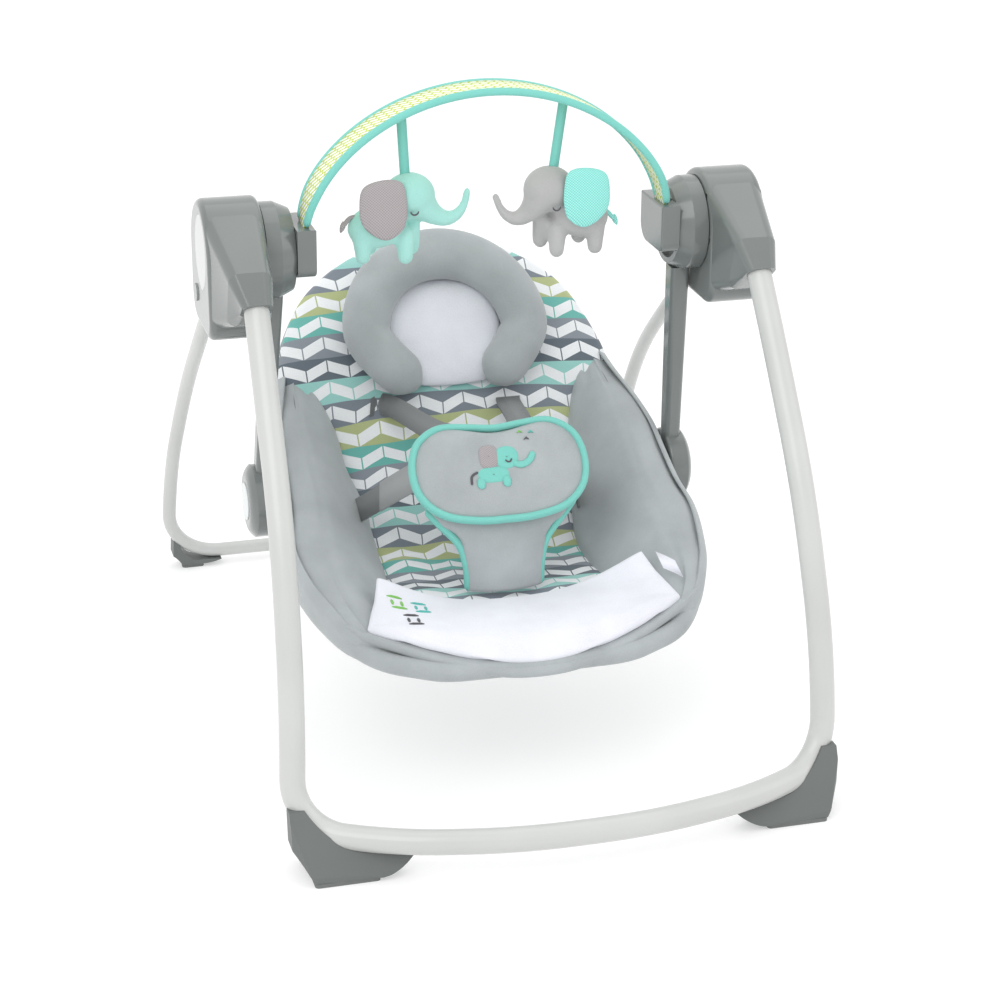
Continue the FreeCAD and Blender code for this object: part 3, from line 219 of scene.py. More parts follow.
def woven(name, colour, pitch=0.0012, contrast=0.3):
    """Webbing and ribbon: crossed ribs at thread scale."""
    material, tree, shader = new_material(name, 0.8)
    split = add_node(tree, "ShaderNodeSeparateXYZ")
    link(tree, object_space(tree), split.inputs[0])
    turns = 2 * math.pi / pitch
    warp = maths(tree, "SINE", maths(tree, "MULTIPLY", split.outputs[0], turns))
    depth = maths(tree, "ADD", split.outputs[1], split.outputs[2])
    weft = maths(tree, "SINE", maths(tree, "MULTIPLY", depth, turns))
    weave = maths(tree, "MULTIPLY_ADD", maths(tree, "MULTIPLY", warp, weft), 0.5, 0.5)
    shade = ramp(tree, weave, [(0.0, tone(colour, 1 - contrast)), (1.0, tone(colour, 1 + contrast))])
    link(tree, shade, shader.inputs["Base Color"])
    shader.inputs["Sheen Weight"].default_value = 0.15
    bump(tree, shader, weave, 0.5, 0.0006)
    return material


def moulded(name, colour, roughness, coat=0.0, grain=0.04):
    """Moulded plastic or rubber: a faint fine grain, slight colour drift and uneven gloss."""
    material, tree, shader = new_material(name, roughness)
    space = object_space(tree)
    drift = texture(tree, "ShaderNodeTexNoise", 9, space, Detail=2.0).outputs["Fac"]
    grit = texture(tree, "ShaderNodeTexNoise", 900, space, Detail=1.0).outputs["Fac"]
    shade = ramp(tree, drift, [(0.3, tone(colour, 0.96)), (0.7, tone(colour, 1.04))])
    link(tree, shade, shader.inputs["Base Color"])
    rough = maths(tree, "MULTIPLY_ADD", drift, 0.08, roughness - 0.04)
    link(tree, rough, shader.inputs["Roughness"])
    shader.inputs["Coat Weight"].default_value = coat
    shader.inputs["Coat Roughness"].default_value = 0.08
    bump(tree, shader, grit, grain, 0.0004)
    return material


def metal(name, colour, roughness=0.35):
    material = moulded(name, colour, roughness, 0.0, 0.08)
    material.node_tree.nodes["Principled BSDF"].inputs["Metallic"].default_value = 1.0
    return material


GREY_PLUSH = (0.385, 0.415, 0.425)
TEAL = (0.26, 0.66, 0.58)
SHELL = (0.155, 0.172, 0.168)
LOOKS = {
    "frame_grey": moulded("frame_paint", (0.53, 0.54, 0.525), 0.32, 0.25, 0.03),
    "foot_grey": moulded("foot_plastic", (0.13, 0.142, 0.138), 0.5, 0.0, 0.12),
    "pad_rubber": moulded("foot_rubber", (0.15, 0.16, 0.155), 0.75, 0.0, 0.2),
    "shell_grey": moulded("shell_plastic", SHELL, 0.22, 0.5, 0.02),
    "lens_grey": moulded("lens_plastic", (0.42, 0.44, 0.43), 0.16, 0.6, 0.01),
    "button_white": moulded("button_plastic", (0.72, 0.75, 0.75), 0.3, 0.2, 0.02),
    "latch_grey": moulded("latch_plastic", (0.30, 0.32, 0.31), 0.3, 0.2, 0.02),
    "pin_steel": metal("pin_metal", (0.55, 0.56, 0.58)),
    "bush_nylon": moulded("bush_plastic", (0.8, 0.8, 0.78), 0.5),
    "board_green": moulded("board_resin", (0.05, 0.2, 0.1), 0.4),
    "cell_jacket": moulded("cell_wrap", (0.10, 0.10, 0.12), 0.35),
    "speaker_black": moulded("speaker_body", (0.04, 0.04, 0.04), 0.6),
    "coil_copper": metal("coil_wire", (0.7, 0.35, 0.15)),
    "magnet_steel": metal("magnet_plate", (0.45, 0.45, 0.47)),
    "seat_tube": moulded("seat_tube_paint", (0.45, 0.47, 0.47), 0.4),
    "bar_strip": moulded("strip_plastic", (0.75, 0.76, 0.74), 0.4),
    "plush_grey": plush("grey_plush", GREY_PLUSH),
    "plush_white": plush("white_plush", (0.76, 0.77, 0.83), 0.07, 0.3, 900),
    "webbing": woven("webbing_weave", (0.19, 0.2, 0.205)),
    "toy_teal": plush("teal_plush", (0.36, 0.68, 0.62), 0.1),
    "toy_grey": plush("toy_grey_plush", (0.42, 0.42, 0.42), 0.12),
    "print_fabric": plush("print_base", (0.8, 0.8, 0.8)),
    "bar_fabric": plush("bar_base", (0.6, 0.8, 0.7)),
}
for entry in frame["record"]["subparts"]:
    node = NODES[entry["node"]]
    node.data.materials.clear()
    node.data.materials.append(LOOKS[entry["material_slot"]])

# ---------------------------------------------------------------- printed and textured fabrics

PRINT_COLUMN = 0.024
PRINT_ROW = 0.025
CHEVRON_SLOPE = 0.42
CHEVRON_HEIGHT = 0.5
CHEVRON_GAP = 0.03
PRINT_BANDS = [
    (0.15, 0.47, 0.42), (0.45, 0.50, 0.25), (0.21, 0.24, 0.28), (0.33, 0.63, 0.59), (0.13, 0.16, 0.19),
    (0.26, 0.29, 0.33),
]


def chevron_print(name):
    """Printed cloth: rows of colour with white chevrons that lean up and down in turn."""
    material, tree, shader = new_material(name, 0.9)
    split = add_node(tree, "ShaderNodeSeparateXYZ")
    link(tree, add_node(tree, "ShaderNodeUVMap").outputs[0], split.inputs[0])
    across = maths(tree, "DIVIDE", split.outputs[0], PRINT_COLUMN)
    along = maths(tree, "DIVIDE", split.outputs[1], PRINT_ROW)
    row = maths(tree, "FLOOR", along)
    rise = maths(tree, "SUBTRACT", along, row)
    zigzag = maths(tree, "PINGPONG", across, 1.0)
    low = maths(tree, "MULTIPLY", zigzag, CHEVRON_SLOPE)
    above = maths(tree, "GREATER_THAN", rise, low)
    below = maths(tree, "LESS_THAN", rise, maths(tree, "ADD", low, CHEVRON_HEIGHT))
    seam = maths(tree, "PINGPONG", across, 0.5)
    clear = maths(tree, "GREATER_THAN", seam, CHEVRON_GAP)
    white = maths(tree, "MULTIPLY", maths(tree, "MULTIPLY", above, below), clear)
    cycle = maths(tree, "FRACT", maths(tree, "DIVIDE", maths(tree, "ADD", row, 0.5), len(PRINT_BANDS)))
    stops = [(k / len(PRINT_BANDS), colour) for k, colour in enumerate(PRINT_BANDS)]
    band = ramp(tree, cycle, stops, "CONSTANT")
    cloth = mix(tree, white, band, (0.86, 0.88, 0.90))
    space = object_space(tree)
    fibre = texture(tree, "ShaderNodeTexNoise", 1500, space, Detail=2.0).outputs["Fac"]
    worn = ramp(tree, fibre, [(0.3, (0.88, 0.88, 0.88)), (0.7, (1, 1, 1))])
    shade = add_node(tree, "ShaderNodeMix", data_type="RGBA", blend_type="MULTIPLY")
    shade.inputs[0].default_value = 1.0
    link(tree, cloth, shade.inputs[6])
    link(tree, worn, shade.inputs[7])
    link(tree, shade.outputs[2], shader.inputs["Base Color"])
    shader.inputs["Sheen Weight"].default_value = 0.2
    bump(tree, shader, fibre, 0.25, 0.0008)
    return material


def lattice_print(name):
    """Woven ribbon face: yellow outlines round short white bars laid in a diagonal basket weave."""
    material, tree, shader = new_material(name, 0.85)
    coordinates = add_node(tree, "ShaderNodeUVMap").outputs[0]
    turned = add_node(tree, "ShaderNodeMapping")
    turned.inputs["Rotation"].default_value = (0, 0, math.radians(45))
    link(tree, coordinates, turned.inputs["Vector"])
    brick = texture(tree, "ShaderNodeTexBrick", 1.0, turned.outputs[0])
    brick.offset = 0.5
    brick.inputs["Color1"].default_value = (0.9, 0.93, 0.88, 1)
    brick.inputs["Color2"].default_value = (0.88, 0.92, 0.86, 1)
    brick.inputs["Mortar"].default_value = (0.50, 0.60, 0.06, 1)
    brick.inputs["Mortar Size"].default_value = 0.0011
    brick.inputs["Brick Width"].default_value = 0.013
    brick.inputs["Row Height"].default_value = 0.0055
    link(tree, brick.outputs["Color"], shader.inputs["Base Color"])
    bump(tree, shader, brick.outputs["Fac"], -0.3, 0.0005)
    return material


def waffle(name, colour):
    """Ribbed knit: small raised cells in crossed rows."""
    return woven(name, colour, 0.0030, 0.26)


GREY_CLOTH = LOOKS["plush_grey"]
WHITE_CLOTH = LOOKS["plush_white"]
PRINT = chevron_print("chevron_print")
LATTICE = lattice_print("lattice_print")
BINDING = woven("teal_binding", (0.20, 0.60, 0.53), 0.0014, 0.14)
TOY_TEAL = LOOKS["toy_teal"]
TOY_GREY = LOOKS["toy_grey"]
TEAL_WAFFLE = waffle("teal_waffle", (0.27, 0.70, 0.64))
GREY_WAFFLE = waffle("grey_waffle", (0.36, 0.33, 0.34))
THREAD_DARK = woven("dark_thread", (0.10, 0.10, 0.11), 0.001)
THREAD_TEAL = woven("teal_thread", (0.10, 0.50, 0.45), 0.001)
THREAD_GREEN = woven("green_thread", (0.22, 0.55, 0.12), 0.001)
SEAM_GREY = woven("seam_thread", (0.20, 0.215, 0.22), 0.001)


# ---------------------------------------------------------------- soft shapes

def between(rows, place):
    """The row of numbers at a fractional index, along a smooth curve through all rows."""
    last = len(rows) - 1
    k = max(0, min(int(math.floor(place)), last - 1))
    f = place - k
    a, b, c, d = (rows[max(0, min(last, k + j))] for j in (-1, 0, 1, 2))
    return [0.5 * (2 * q + (r - p) * f + (2 * p - 5 * q + 4 * r - s) * f * f
                   + (3 * q - 3 * r + s - p) * f ** 3) for p, q, r, s in zip(a, b, c, d)]


def smooth_line(points, count):
    return [Vector(between(points, (len(points) - 1) * k / (count - 1))) for k in range(count)]


def smooth_loop(points, count):
    ring = [points[-1]] + list(points) + [points[0], points[1]]
    return [Vector(between(ring, 1 + len(points) * k / count)) for k in range(count)]


def piece(name, verts, faces, material, body, uv=None, subdivide=1, weld=False):
    """A soft piece from points in millimetres about the swing axis."""
    mesh = bpy.data.meshes.new(name)
    mesh.from_pydata([at(*v) for v in verts], [], faces)
    if uv:
        layer = mesh.uv_layers.new(name="cloth")
        for loop in mesh.loops:
            layer.data[loop.index].uv = uv[loop.vertex_index]
    work = bmesh.new()
    work.from_mesh(mesh)
    if weld:
        bmesh.ops.remove_doubles(work, verts=work.verts, dist=0.00002)
    bmesh.ops.recalc_face_normals(work, faces=work.faces)
    work.to_mesh(mesh)
    work.free()
    mesh.polygons.foreach_set("use_smooth", [True] * len(mesh.polygons))
    mesh.materials.append(material)
    obj = bpy.data.objects.new(name, mesh)
    bpy.context.scene.collection.objects.link(obj)
    if subdivide:
        obj.modifiers.new("smooth", "SUBSURF").levels = subdivide
        obj.modifiers["smooth"].render_levels = subdivide
    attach(obj, body)
    return obj


def skin(name, rings, material, body, closed=True, capped=True, uv=None, subdivide=1):
    """A surface through rings of points; the ends are closed with fans."""
    n = len(rings[0])
    verts = [p for ring in rings for p in ring]
    faces = []
    for i in range(len(rings) - 1):
        for j in range(n if closed else n - 1):
            a = i * n + j
            b = i * n + (j + 1) % n
            faces.append((a, b, b + n, a + n))
    if capped:
        for first in (0, (len(rings) - 1) * n):
            ring = verts[first:first + n]
            verts.append(sum((Vector(p) for p in ring), Vector((0, 0, 0))) / n)
            faces += [(first + j, first + (j + 1) % n, len(verts) - 1) for j in range(n)]
    return piece(name, verts, faces, material, body, uv, subdivide)


def quilt(name, patch, half, across, along, material, body, cloth=None, edge=0.16):
    """A pad over a patch: patch(s, t) is a point, s in -1..1 and t in 0..1; half is half its thickness."""
    sides = [-math.cos(math.pi * i / across) for i in range(across + 1)]
    runs = [0.5 - 0.5 * math.cos(math.pi * j / along) for j in range(along + 1)]
    grid = [[Vector(patch(s, t)) for s in sides] for t in runs]
    verts = []
    uv = []
    for face_up in (1, -1):
        for j in range(along + 1):
            for i in range(across + 1):
                side = grid[j][min(i + 1, across)] - grid[j][max(i - 1, 0)]
                ahead = grid[min(j + 1, along)][i] - grid[max(j - 1, 0)][i]
                normal = side.cross(ahead).normalized()
                if normal.z < 0:
                    normal = -normal
                s, t = sides[i], runs[j]
                near = min((1 - abs(s)) / edge, min(t, 1 - t) * 2 / edge, 1.0)
                swell = math.sqrt(max(0.0, 1 - (1 - near) ** 2))
                verts.append(grid[j][i] + normal * (half * swell * face_up))
                uv.append(cloth(s, t) if cloth else (s, t))
    n = across + 1
    layer = n * (along + 1)
    faces = []
    for shift in (0, layer):
        for j in range(along):
            for i in range(across):
                a = shift + j * n + i
                faces.append((a, a + 1, a + n + 1, a + n))
    return piece(name, verts, faces, material, body, uv, weld=True)


def cushion(name, middle, outline, across, along, out, half, material, body, crown=0.5):
    """A stuffed pad over a rounded outline of (a, b) points about its middle."""
    shares = [0.04, 0.3, 0.55, 0.75, 0.88, 0.96, 1.0]
    rings = []
    for sign, order in ((1, shares), (-1, list(reversed(shares))[1:])):
        for share in order:
            lift = half * sign * (1 - share ** 3) ** crown
            rings.append([middle + across * (a * share) + along * (b * share) + out * lift
                          for a, b in outline])
    return skin(name, rings, material, body)


def tube(name, line, radii, material, body, sides=14, subdivide=1, flat=1.0, out=None):
    """A round or oval bar along points, with round ends."""
    rings = []
    count = len(line)
    lengths = [0.0]
    for k in range(1, count):
        lengths.append(lengths[-1] + (line[k] - line[k - 1]).length)
    for k, centre in enumerate(line):
        ahead = (line[min(k + 1, count - 1)] - line[max(k - 1, 0)]).normalized()
        up = out or Vector((0, -1, 0.2))
        side = ahead.cross(up).normalized()
        up = side.cross(ahead).normalized()
        radius = radii[k] if isinstance(radii, list) else radii
        near = min(lengths[k], lengths[-1] - lengths[k]) / max(radius, 0.1)
        if near < 1:
            radius *= max(0.25, math.sqrt(max(0.0, 1 - (1 - near) ** 2)))
        rings.append([centre + side * (radius * math.cos(a)) + up * (radius * flat * math.sin(a))
                      for a in (2 * math.pi * j / sides for j in range(sides))])
    return skin(name, rings, material, body, subdivide=subdivide)


def strip(name, line, widths, thickness, material, body):
    """A flat ribbon along points; widths are half-width vectors."""
    rings = []
    uv = []
    run = 0.0
    for k, centre in enumerate(line):
        ahead = (line[min(k + 1, len(line) - 1)] - line[max(k - 1, 0)]).normalized()
        half = Vector(widths[k])
        out = ahead.cross(half).normalized() * (thickness / 2)
        rings.append([centre - half - out, centre + half - out, centre + half + out, centre - half + out])
        run += 0.001 * (centre - line[max(k - 1, 0)]).length
        uv += [(-half.length * 0.001, run), (half.length * 0.001, run), (half.length * 0.001, run),
               (-half.length * 0.001, run)]
    return skin(name, rings, material, body, uv=uv, subdivide=0, capped=False)


def puff(obj, pressure, cap, frames=10):
    """Inflates the sewn shell for a few steps, so that its fabric swells and creases."""
    mesh = obj.data
    before = [v.co.copy() for v in mesh.vertices]
    others = list(obj.modifiers)
    for modifier in others:
        modifier.show_viewport = False
    cloth = obj.modifiers.new("puff", "CLOTH")
    cloth.settings.use_pressure = True
    cloth.settings.uniform_pressure_force = pressure
    cloth.settings.tension_stiffness = 15
    cloth.settings.compression_stiffness = 15
    cloth.settings.shear_stiffness = 5
    cloth.settings.bending_stiffness = 0.3
    cloth.settings.effector_weights.gravity = 0
    cloth.collision_settings.use_collision = False
    cloth.point_cache.frame_end = frames
    scene = bpy.context.scene
    for step in range(1, frames + 1):
        scene.frame_set(step)
    after = [v.co.copy() for v in obj.evaluated_get(bpy.context.evaluated_depsgraph_get()).data.vertices]
    obj.modifiers.remove(cloth)
    for modifier in others:
        modifier.show_viewport = True
    scene.frame_set(1)
    for vertex, old, new in zip(mesh.vertices, before, after):
        move = new - old
        if move.length > cap:
            move *= cap / move.length
        vertex.co = old + move


def surface_of(obj):
    return BVHTree.FromObject(obj, bpy.context.evaluated_depsgraph_get())


def laid_on(tree, start, toward, lift):
    """Where a line from a point meets a piece's surface, raised back along the line by a lift."""
    hit = tree.ray_cast(at(*start), toward)[0]
    if hit is None:
        return start + toward * 40
    return Vector((hit.x * 1000, hit.y * 1000 - SHIFT_Y, hit.z * 1000)) - toward * lift


# ---------------------------------------------------------------- seat: pad, wings, cover and leg rest

# From the head end to the front lip: centre y and z of the seat's surface, tilt in degrees, half
# width and height of the rim, height of the seat tube, half width between the wings.
STATIONS = [
    (222.5, 432, 54, 66, -8, -27, 40), (202, 404, 54, 138, -20, -27, 112), (170, 360, 54, 174, -20, -27, 148),
    (138, 316, 50, 190, 3, -29, 146), (108, 275, 45, 203, 32, -28, 134), (78, 233, 36, 209, 60, -28, 124),
    (48, 193, 32, 212, 80, 15, 118), (12, 162, 27, 215, 90, 33, 114), (-32, 150, 23, 221, 82, 34, 113),
    (-85, 151, 18, 217, 60, 21, 118), (-138, 157, 12, 205, 38, 3, 142), (-184, 160, 8, 180, 20, -12, 140),
    (-215, 156, 8, 122, 12, -15, 94),
]
BACK_ALONG = Vector((0, 0.588, 0.809))
BACK_UP = Vector((0, -0.809, 0.588))
ACROSS = Vector((1, 0, 0))


def on_back(x, along, up):
    return Vector((x, 80, 236)) + BACK_ALONG * along + BACK_UP * up


def seat_point(u, x, height):
    """A point across the seat at a fractional station, at a height over its centre line."""
    if u < 0:
        return on_back(x, 242 - u * 26, height)
    y, z, tilt = between(STATIONS, u)[:3]
    angle = math.radians(tilt)
    return Vector((x, y - math.sin(angle) * height, z + math.cos(angle) * height))


def smoothstep(low, high, value):
    t = max(0.0, min(1.0, (value - low) / (high - low)))
    return t * t * (3 - 2 * t)


SEAT_TUBE_INSET = 24
SLING_DROP = 26


def sling_height(u, x):
    width, _, tube_height = between(STATIONS, max(u, 0))[3:6]
    share = min(abs(x) / (width - SEAT_TUBE_INSET), 1.0)
    return -SLING_DROP + (tube_height + SLING_DROP) * share ** 2.5


# The printed pad's half widths, one for each station from just before the head end.
PAD_WIDTHS = [(52,), (92,), (146,), (178,), (192,), (166,), (146,), (137,), (131,), (128,), (132,), (138,)]
PAD_START = -0.9
PAD_RUN = 10.6


def pad_surface(s, t):
    u = PAD_START + PAD_RUN * t
    width = between(PAD_WIDTHS, u + 1)[0]
    x = s * width
    inner = between(STATIONS, max(u, 0))[6]
    between_wings = sling_height(u, x) + SLING_DROP - 12 * min(abs(x) / inner, 1.0) ** 4
    over_tube = -14 * abs(s) ** 3 - 26 * smoothstep(0.2, PAD_START, u) ** 2
    share = smoothstep(2.8, 4.2, u)
    height = over_tube * (1 - share) + between_wings * share
    dimple = 1.6 * math.sin(x / 17.0) * math.sin(u * 5.1) * smoothstep(1.0, 0.6, abs(s))
    return seat_point(u, x, height - 10 + dimple)


def pad_cloth(s, t):
    """The place on the printed cloth, in metres, with its length measured along the pad's middle."""
    u = PAD_START + PAD_RUN * t
    run = 0.0
    steps = max(1, int(abs(u - PAD_START) * 6))
    last = seat_point(PAD_START, 0, 0)
    for k in range(1, steps + 1):
        spot = seat_point(PAD_START + (u - PAD_START) * k / steps, 0, 0)
        run += (spot - last).length
        last = spot
    width = between(PAD_WIDTHS, u + 1)[0]
    return (0.012 + s * width * 0.001, 1.009 - run * 0.001)


pad = quilt("printed_seat_pad", pad_surface, 11, 54, 96, PRINT, "seat", pad_cloth, 0.1)
puff(pad, 1.6, 0.004)
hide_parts("seat_pad")


def wing_outline(u):
    """The closed section of a side wing at a fractional station, as (x, height) points."""
    width, rim, tube_height, inner = between(STATIONS, u)[3:7]
    edge = width - SEAT_TUBE_INSET
    over_tube = max(tube_height + 9.2, sling_height(u, edge) + 1)
    top = max(rim, over_tube + 15)
    foot = sling_height(u, inner) + 14
    return [
        (inner - 3, foot - 6), (0.5 * (inner + edge), sling_height(u, 0.5 * (inner + edge)) + 2),
        (edge - 2, over_tube), (width - 3, over_tube), (width + 1, 0.45 * over_tube + 0.55 * top),
        (width - 4, top - 3), (width - 18, top + 1), (0.6 * width + 0.4 * inner, 0.12 * foot + 0.88 * top),
        (0.33 * width + 0.67 * inner, 0.42 * foot + 0.58 * top), (inner + 2, foot + 9), (inner - 5, foot + 1),
    ]


WING_SIDES = 44
WING_STEPS = 34
WING_START = 2.35
WING_RUN = 8.75
SEAM_PLACE = 27
SEAM_DEPTH = 2.2
for word, side in (("left", -1), ("right", 1)):
    rings = []
    for k in range(WING_STEPS + 1):
        t = k / WING_STEPS
        u = WING_START + WING_RUN * t
        outline = smooth_loop(wing_outline(u), WING_SIDES)
        width, rim = between(STATIONS, u)[3:5]
        anchor = Vector((width - 14, rim - 9))
        near = min(t / 0.2, (1 - t) / 0.12, 1.0)
        size = max(0.06, math.sqrt(max(0.0, 1 - (1 - near) ** 2)))
        ring = []
        for j, spot in enumerate(outline):
            spot = anchor + (spot - anchor) * size
            groove = SEAM_DEPTH if j == SEAM_PLACE else 0.0
            ring.append(seat_point(u, side * spot.x, spot.y - groove * size))
        rings.append(ring)
    wing = skin("side_wing_" + word, rings, GREY_CLOTH, "seat")
    puff(wing, 2.2, 0.005)
    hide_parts("bolster_" + word)
    seam_line = [ring[SEAM_PLACE] for ring in rings[3:-2]]
    tube("wing_seam_" + word, seam_line, 0.7, SEAM_GREY, "seat", sides=6, subdivide=0)


def cover_ring(u):
    """The cover's line across the seat: down outside the rim, round the tube and under the sling."""
    width, rim, tube_height = between(STATIONS, u)[3:6]
    top = max(rim, tube_height + 20) if u > 2.6 else tube_height + 8
    top += (tube_height + 9 - top) * smoothstep(10.2, 11.9, u)
    edge = width - SEAT_TUBE_INSET
    half = [
        (width - 6, top - 1), (width + 1.5, top - 8), (width + 2.5, 0.5 * (top + tube_height)),
        (width + 1, tube_height), (width - 6, tube_height - 11),
        (edge, min(tube_height - 14, sling_height(u, edge) - 8)),
    ]
    lower = [(x, sling_height(u, x) - 7 - 3 * (1 - x / edge))
             for x in (edge * share for share in (0.8, 0.6, 0.4, 0.2, 0.0))]
    right = half + lower
    line = right + [(-x, h) for x, h in reversed(right[:-1])]
    return [seat_point(u, spot.x, spot.y) for spot in smooth_line(line, COVER_SIDES)]


COVER_SIDES = 76
COVER_STEPS = 60
cover_rings = [cover_ring(0.05 + 11.95 * k / COVER_STEPS) for k in range(COVER_STEPS + 1)]
cover = skin("seat_cover_cloth", cover_rings, GREY_CLOTH, "seat", closed=False, capped=False)
cover.modifiers.new("cloth_thickness", "SOLIDIFY").thickness = 0.0018
cover.modifiers["cloth_thickness"].offset = 1
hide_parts("seat_cover")
rail = [(205, -30), (204, -75), (194, -140), (160, -198), (118, -222), (90, -231), (50, -232.5), (0, -233)]
rail += [(-x, y) for x, y in reversed(rail[:-1])]
lip_line = smooth_line([Vector((x, y, 192.9 + 0.237 * y)) for x, y in rail], 60)
lip = tube("seat_lip_roll", lip_line, 10.5, GREY_CLOTH, "seat", sides=16)


# Along y over the front rail: the leg rest's height on its centre line, then its rise at its side
# and the half width that the rise is given at.
REST_CURVE = 2.4
REST_LINE = [
    (-118, 156), (-138, 157), (-160, 159), (-185, 161), (-205, 160), (-222, 156), (-236, 149), (-246, 138),
]
REST_RISES = [
    (-118, 47, 141), (-127, 45, 142), (-150, 30, 152), (-185, 12, 165), (-222, 6, 124), (-246, 3, 62),
]


def rest_height(x, y):

    def look(rows, column):
        for low, high in zip(rows, rows[1:]):
            if y >= high[0]:
                share = (low[0] - y) / (low[0] - high[0])
                return low[column] + (high[column] - low[column]) * max(0.0, share)
        return rows[-1][column]

    return look(REST_LINE, 1) + look(REST_RISES, 1) * min(1.25, abs(x) / look(REST_RISES, 2)) ** REST_CURVE


def rest_surface(s, t):
    x = s * (141 + 24 * t)
    top = -118 - 9 * s * s
    low = -241 + 56 * abs(s) ** REST_CURVE
    y = top + (low - top) * t
    return (x, y, rest_height(x, y))


rest = quilt("leg_rest_plush", rest_surface, 7, 44, 40, WHITE_CLOTH, "seat", edge=0.12)
puff(rest, 1.6, 0.003)
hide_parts("leg_rest")


def apron_surface(s, t):
    x = s * (146 + 40 * t)
    y = -150 + (-246 + 70 * abs(s) ** REST_CURVE + 150) * t
    return (x, y, rest_height(x, y) - 9)


apron = quilt("seat_front_apron", apron_surface, 5, 40, 24, GREY_CLOTH, "seat", edge=0.1)


def stitch(name, points, material, width):
    """A short satin-stitched bar on a fabric face."""
    tube(name, points, width, material, "seat", sides=8, subdivide=0, flat=0.5)


REST_FACE = surface_of(rest)


def rest_spot(x, y):
    return laid_on(REST_FACE, Vector((x, y, 260)), Vector((0, 0, -1)), 0.5)


MOTIF_PLACES = [(-128, -158, THREAD_GREEN), (-104, -161, THREAD_TEAL), (-117, -185, THREAD_DARK)]
MOTIF_BARS = [(-9, 8, 7, 8), (-7, -8, 9, -8), (-5, 4, -5, -4), (5, 4, 5, -4)]
for n, (cx, cy, material) in enumerate(MOTIF_PLACES):
    for m, (ax, ay, bx, by) in enumerate(MOTIF_BARS):
        line = [rest_spot(cx + ax + (bx - ax) * k / 4, cy + ay + (by - ay) * k / 4) for k in range(5)]
        stitch("leg_rest_motif_%d_%d" % (n, m), line, material, 1.5)
tag_line = [Vector((152, -152, 200)), Vector((160, -160, 198)), Vector((168, -168, 195))]
strip("side_tag", tag_line, [Vector((2.5, -6.5, -7.0))] * 3, 1.0, WHITE_CLOTH, "seat")

# ---------------------------------------------------------------- head support

HEAD_ALONG = 143
HEAD_STEPS = 40
ring_line = []
ring_radii = []
for k in range(HEAD_STEPS + 1):
    turn = math.radians(-50 + 280 * k / HEAD_STEPS)
    squeeze = 1 + 0.39 * min(0.0, math.sin(turn))
    reach = 90 if 0 < turn < math.pi else 80
    ring_line.append(on_back(90 * math.cos(turn) * squeeze, HEAD_ALONG + reach * math.sin(turn), 25))
    ring_radii.append(29.5 - 4.0 * abs(k - 20) / 20)
head = tube("head_support_roll", ring_line, ring_radii, GREY_CLOTH, "seat", sides=24, flat=0.8,
            out=BACK_UP)
puff(head, 2.5, 0.005)
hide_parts("head_support")
head_outline = smooth_loop([
    (62, -12), (66, 14), (54, 46), (28, 62), (0, 66), (-28, 62), (-54, 46), (-66, 14), (-62, -12), (-58, -44),
    (-44, -55), (0, -59), (44, -55), (58, -44),
], 48)
head_pad = cushion("head_cushion_plush", on_back(0, HEAD_ALONG, 11), head_outline, ACROSS, BACK_ALONG,
                   BACK_UP, 10, WHITE_CLOTH, "seat")
puff(head_pad, 1.5, 0.003)
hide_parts("head_cushion")

# ---------------------------------------------------------------- belly pad, crotch pad and straps

BELLY = Vector((0, -78, 287))
half_bean = [(30, 47), (60, 48), (84, 32), (92, 4), (86, -24), (64, -44), (30, -52)]
bean = [(0, 44)] + half_bean + [(0, -53)] + [(-a, b) for a, b in reversed(half_bean)]
BELLY_SIDES = 64
belly_outline = smooth_loop(bean, BELLY_SIDES)
belly = cushion("belly_pad_plush", BELLY, belly_outline, ACROSS, BACK_ALONG, BACK_UP, 9.5, GREY_CLOTH, "seat",
                crown=0.45)
puff(belly, 2.0, 0.004)
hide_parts("belly_pad")
rim_line = [BELLY + ACROSS * a + BACK_ALONG * b for a, b in belly_outline]
rings = []
for k in range(BELLY_SIDES):
    ahead = (rim_line[(k + 1) % BELLY_SIDES] - rim_line[k - 1]).normalized()
    side = ahead.cross(BACK_UP).normalized()
    rings.append([rim_line[k] + side * (4.2 * math.cos(a)) + BACK_UP * (6.8 * math.sin(a))
                  for a in (2 * math.pi * j / 12 for j in range(12))])
rings.append(rings[0])
skin("belly_binding", rings, BINDING, "seat", capped=False)


BELLY_FACE = surface_of(belly)


def on_belly(a, b, lift=0.8):
    """A point on the belly pad's outer face, from offsets across and along it."""
    start = BELLY + ACROSS * a + BACK_ALONG * b + BACK_UP * 60
    return laid_on(BELLY_FACE, start, -BACK_UP, lift)


def patch_shape(name, outline, material, lift=0.6):
    """A flat embroidered shape on the belly pad."""
    points = smooth_loop(outline, 40)
    middle = sum((Vector(p) for p in outline), Vector((0, 0))) / len(outline)
    dome = ((0.05, 0.5), (0.35, 0.5), (0.65, 0.5), (0.92, 0.4), (1.0, -1.2))
    rings = [[on_belly(middle.x + (p.x - middle.x) * share, middle.y + (p.y - middle.y) * share, lift + rise)
              for p in points] for share, rise in dome]
    return skin(name, rings, material, "seat", capped=False)


def round_patch(name, middle, half_a, half_b, material, lift=0.6, power=1.0):
    """A stitched oval; a power below 1 squares its corners."""
    outline = []
    for k in range(16):
        turn = 2 * math.pi * k / 16
        outline.append((middle[0] + half_a * math.copysign(abs(math.cos(turn)) ** power, math.cos(turn)),
                        middle[1] + half_b * math.copysign(abs(math.sin(turn)) ** power, math.sin(turn))))
    return patch_shape(name, outline, material, lift)


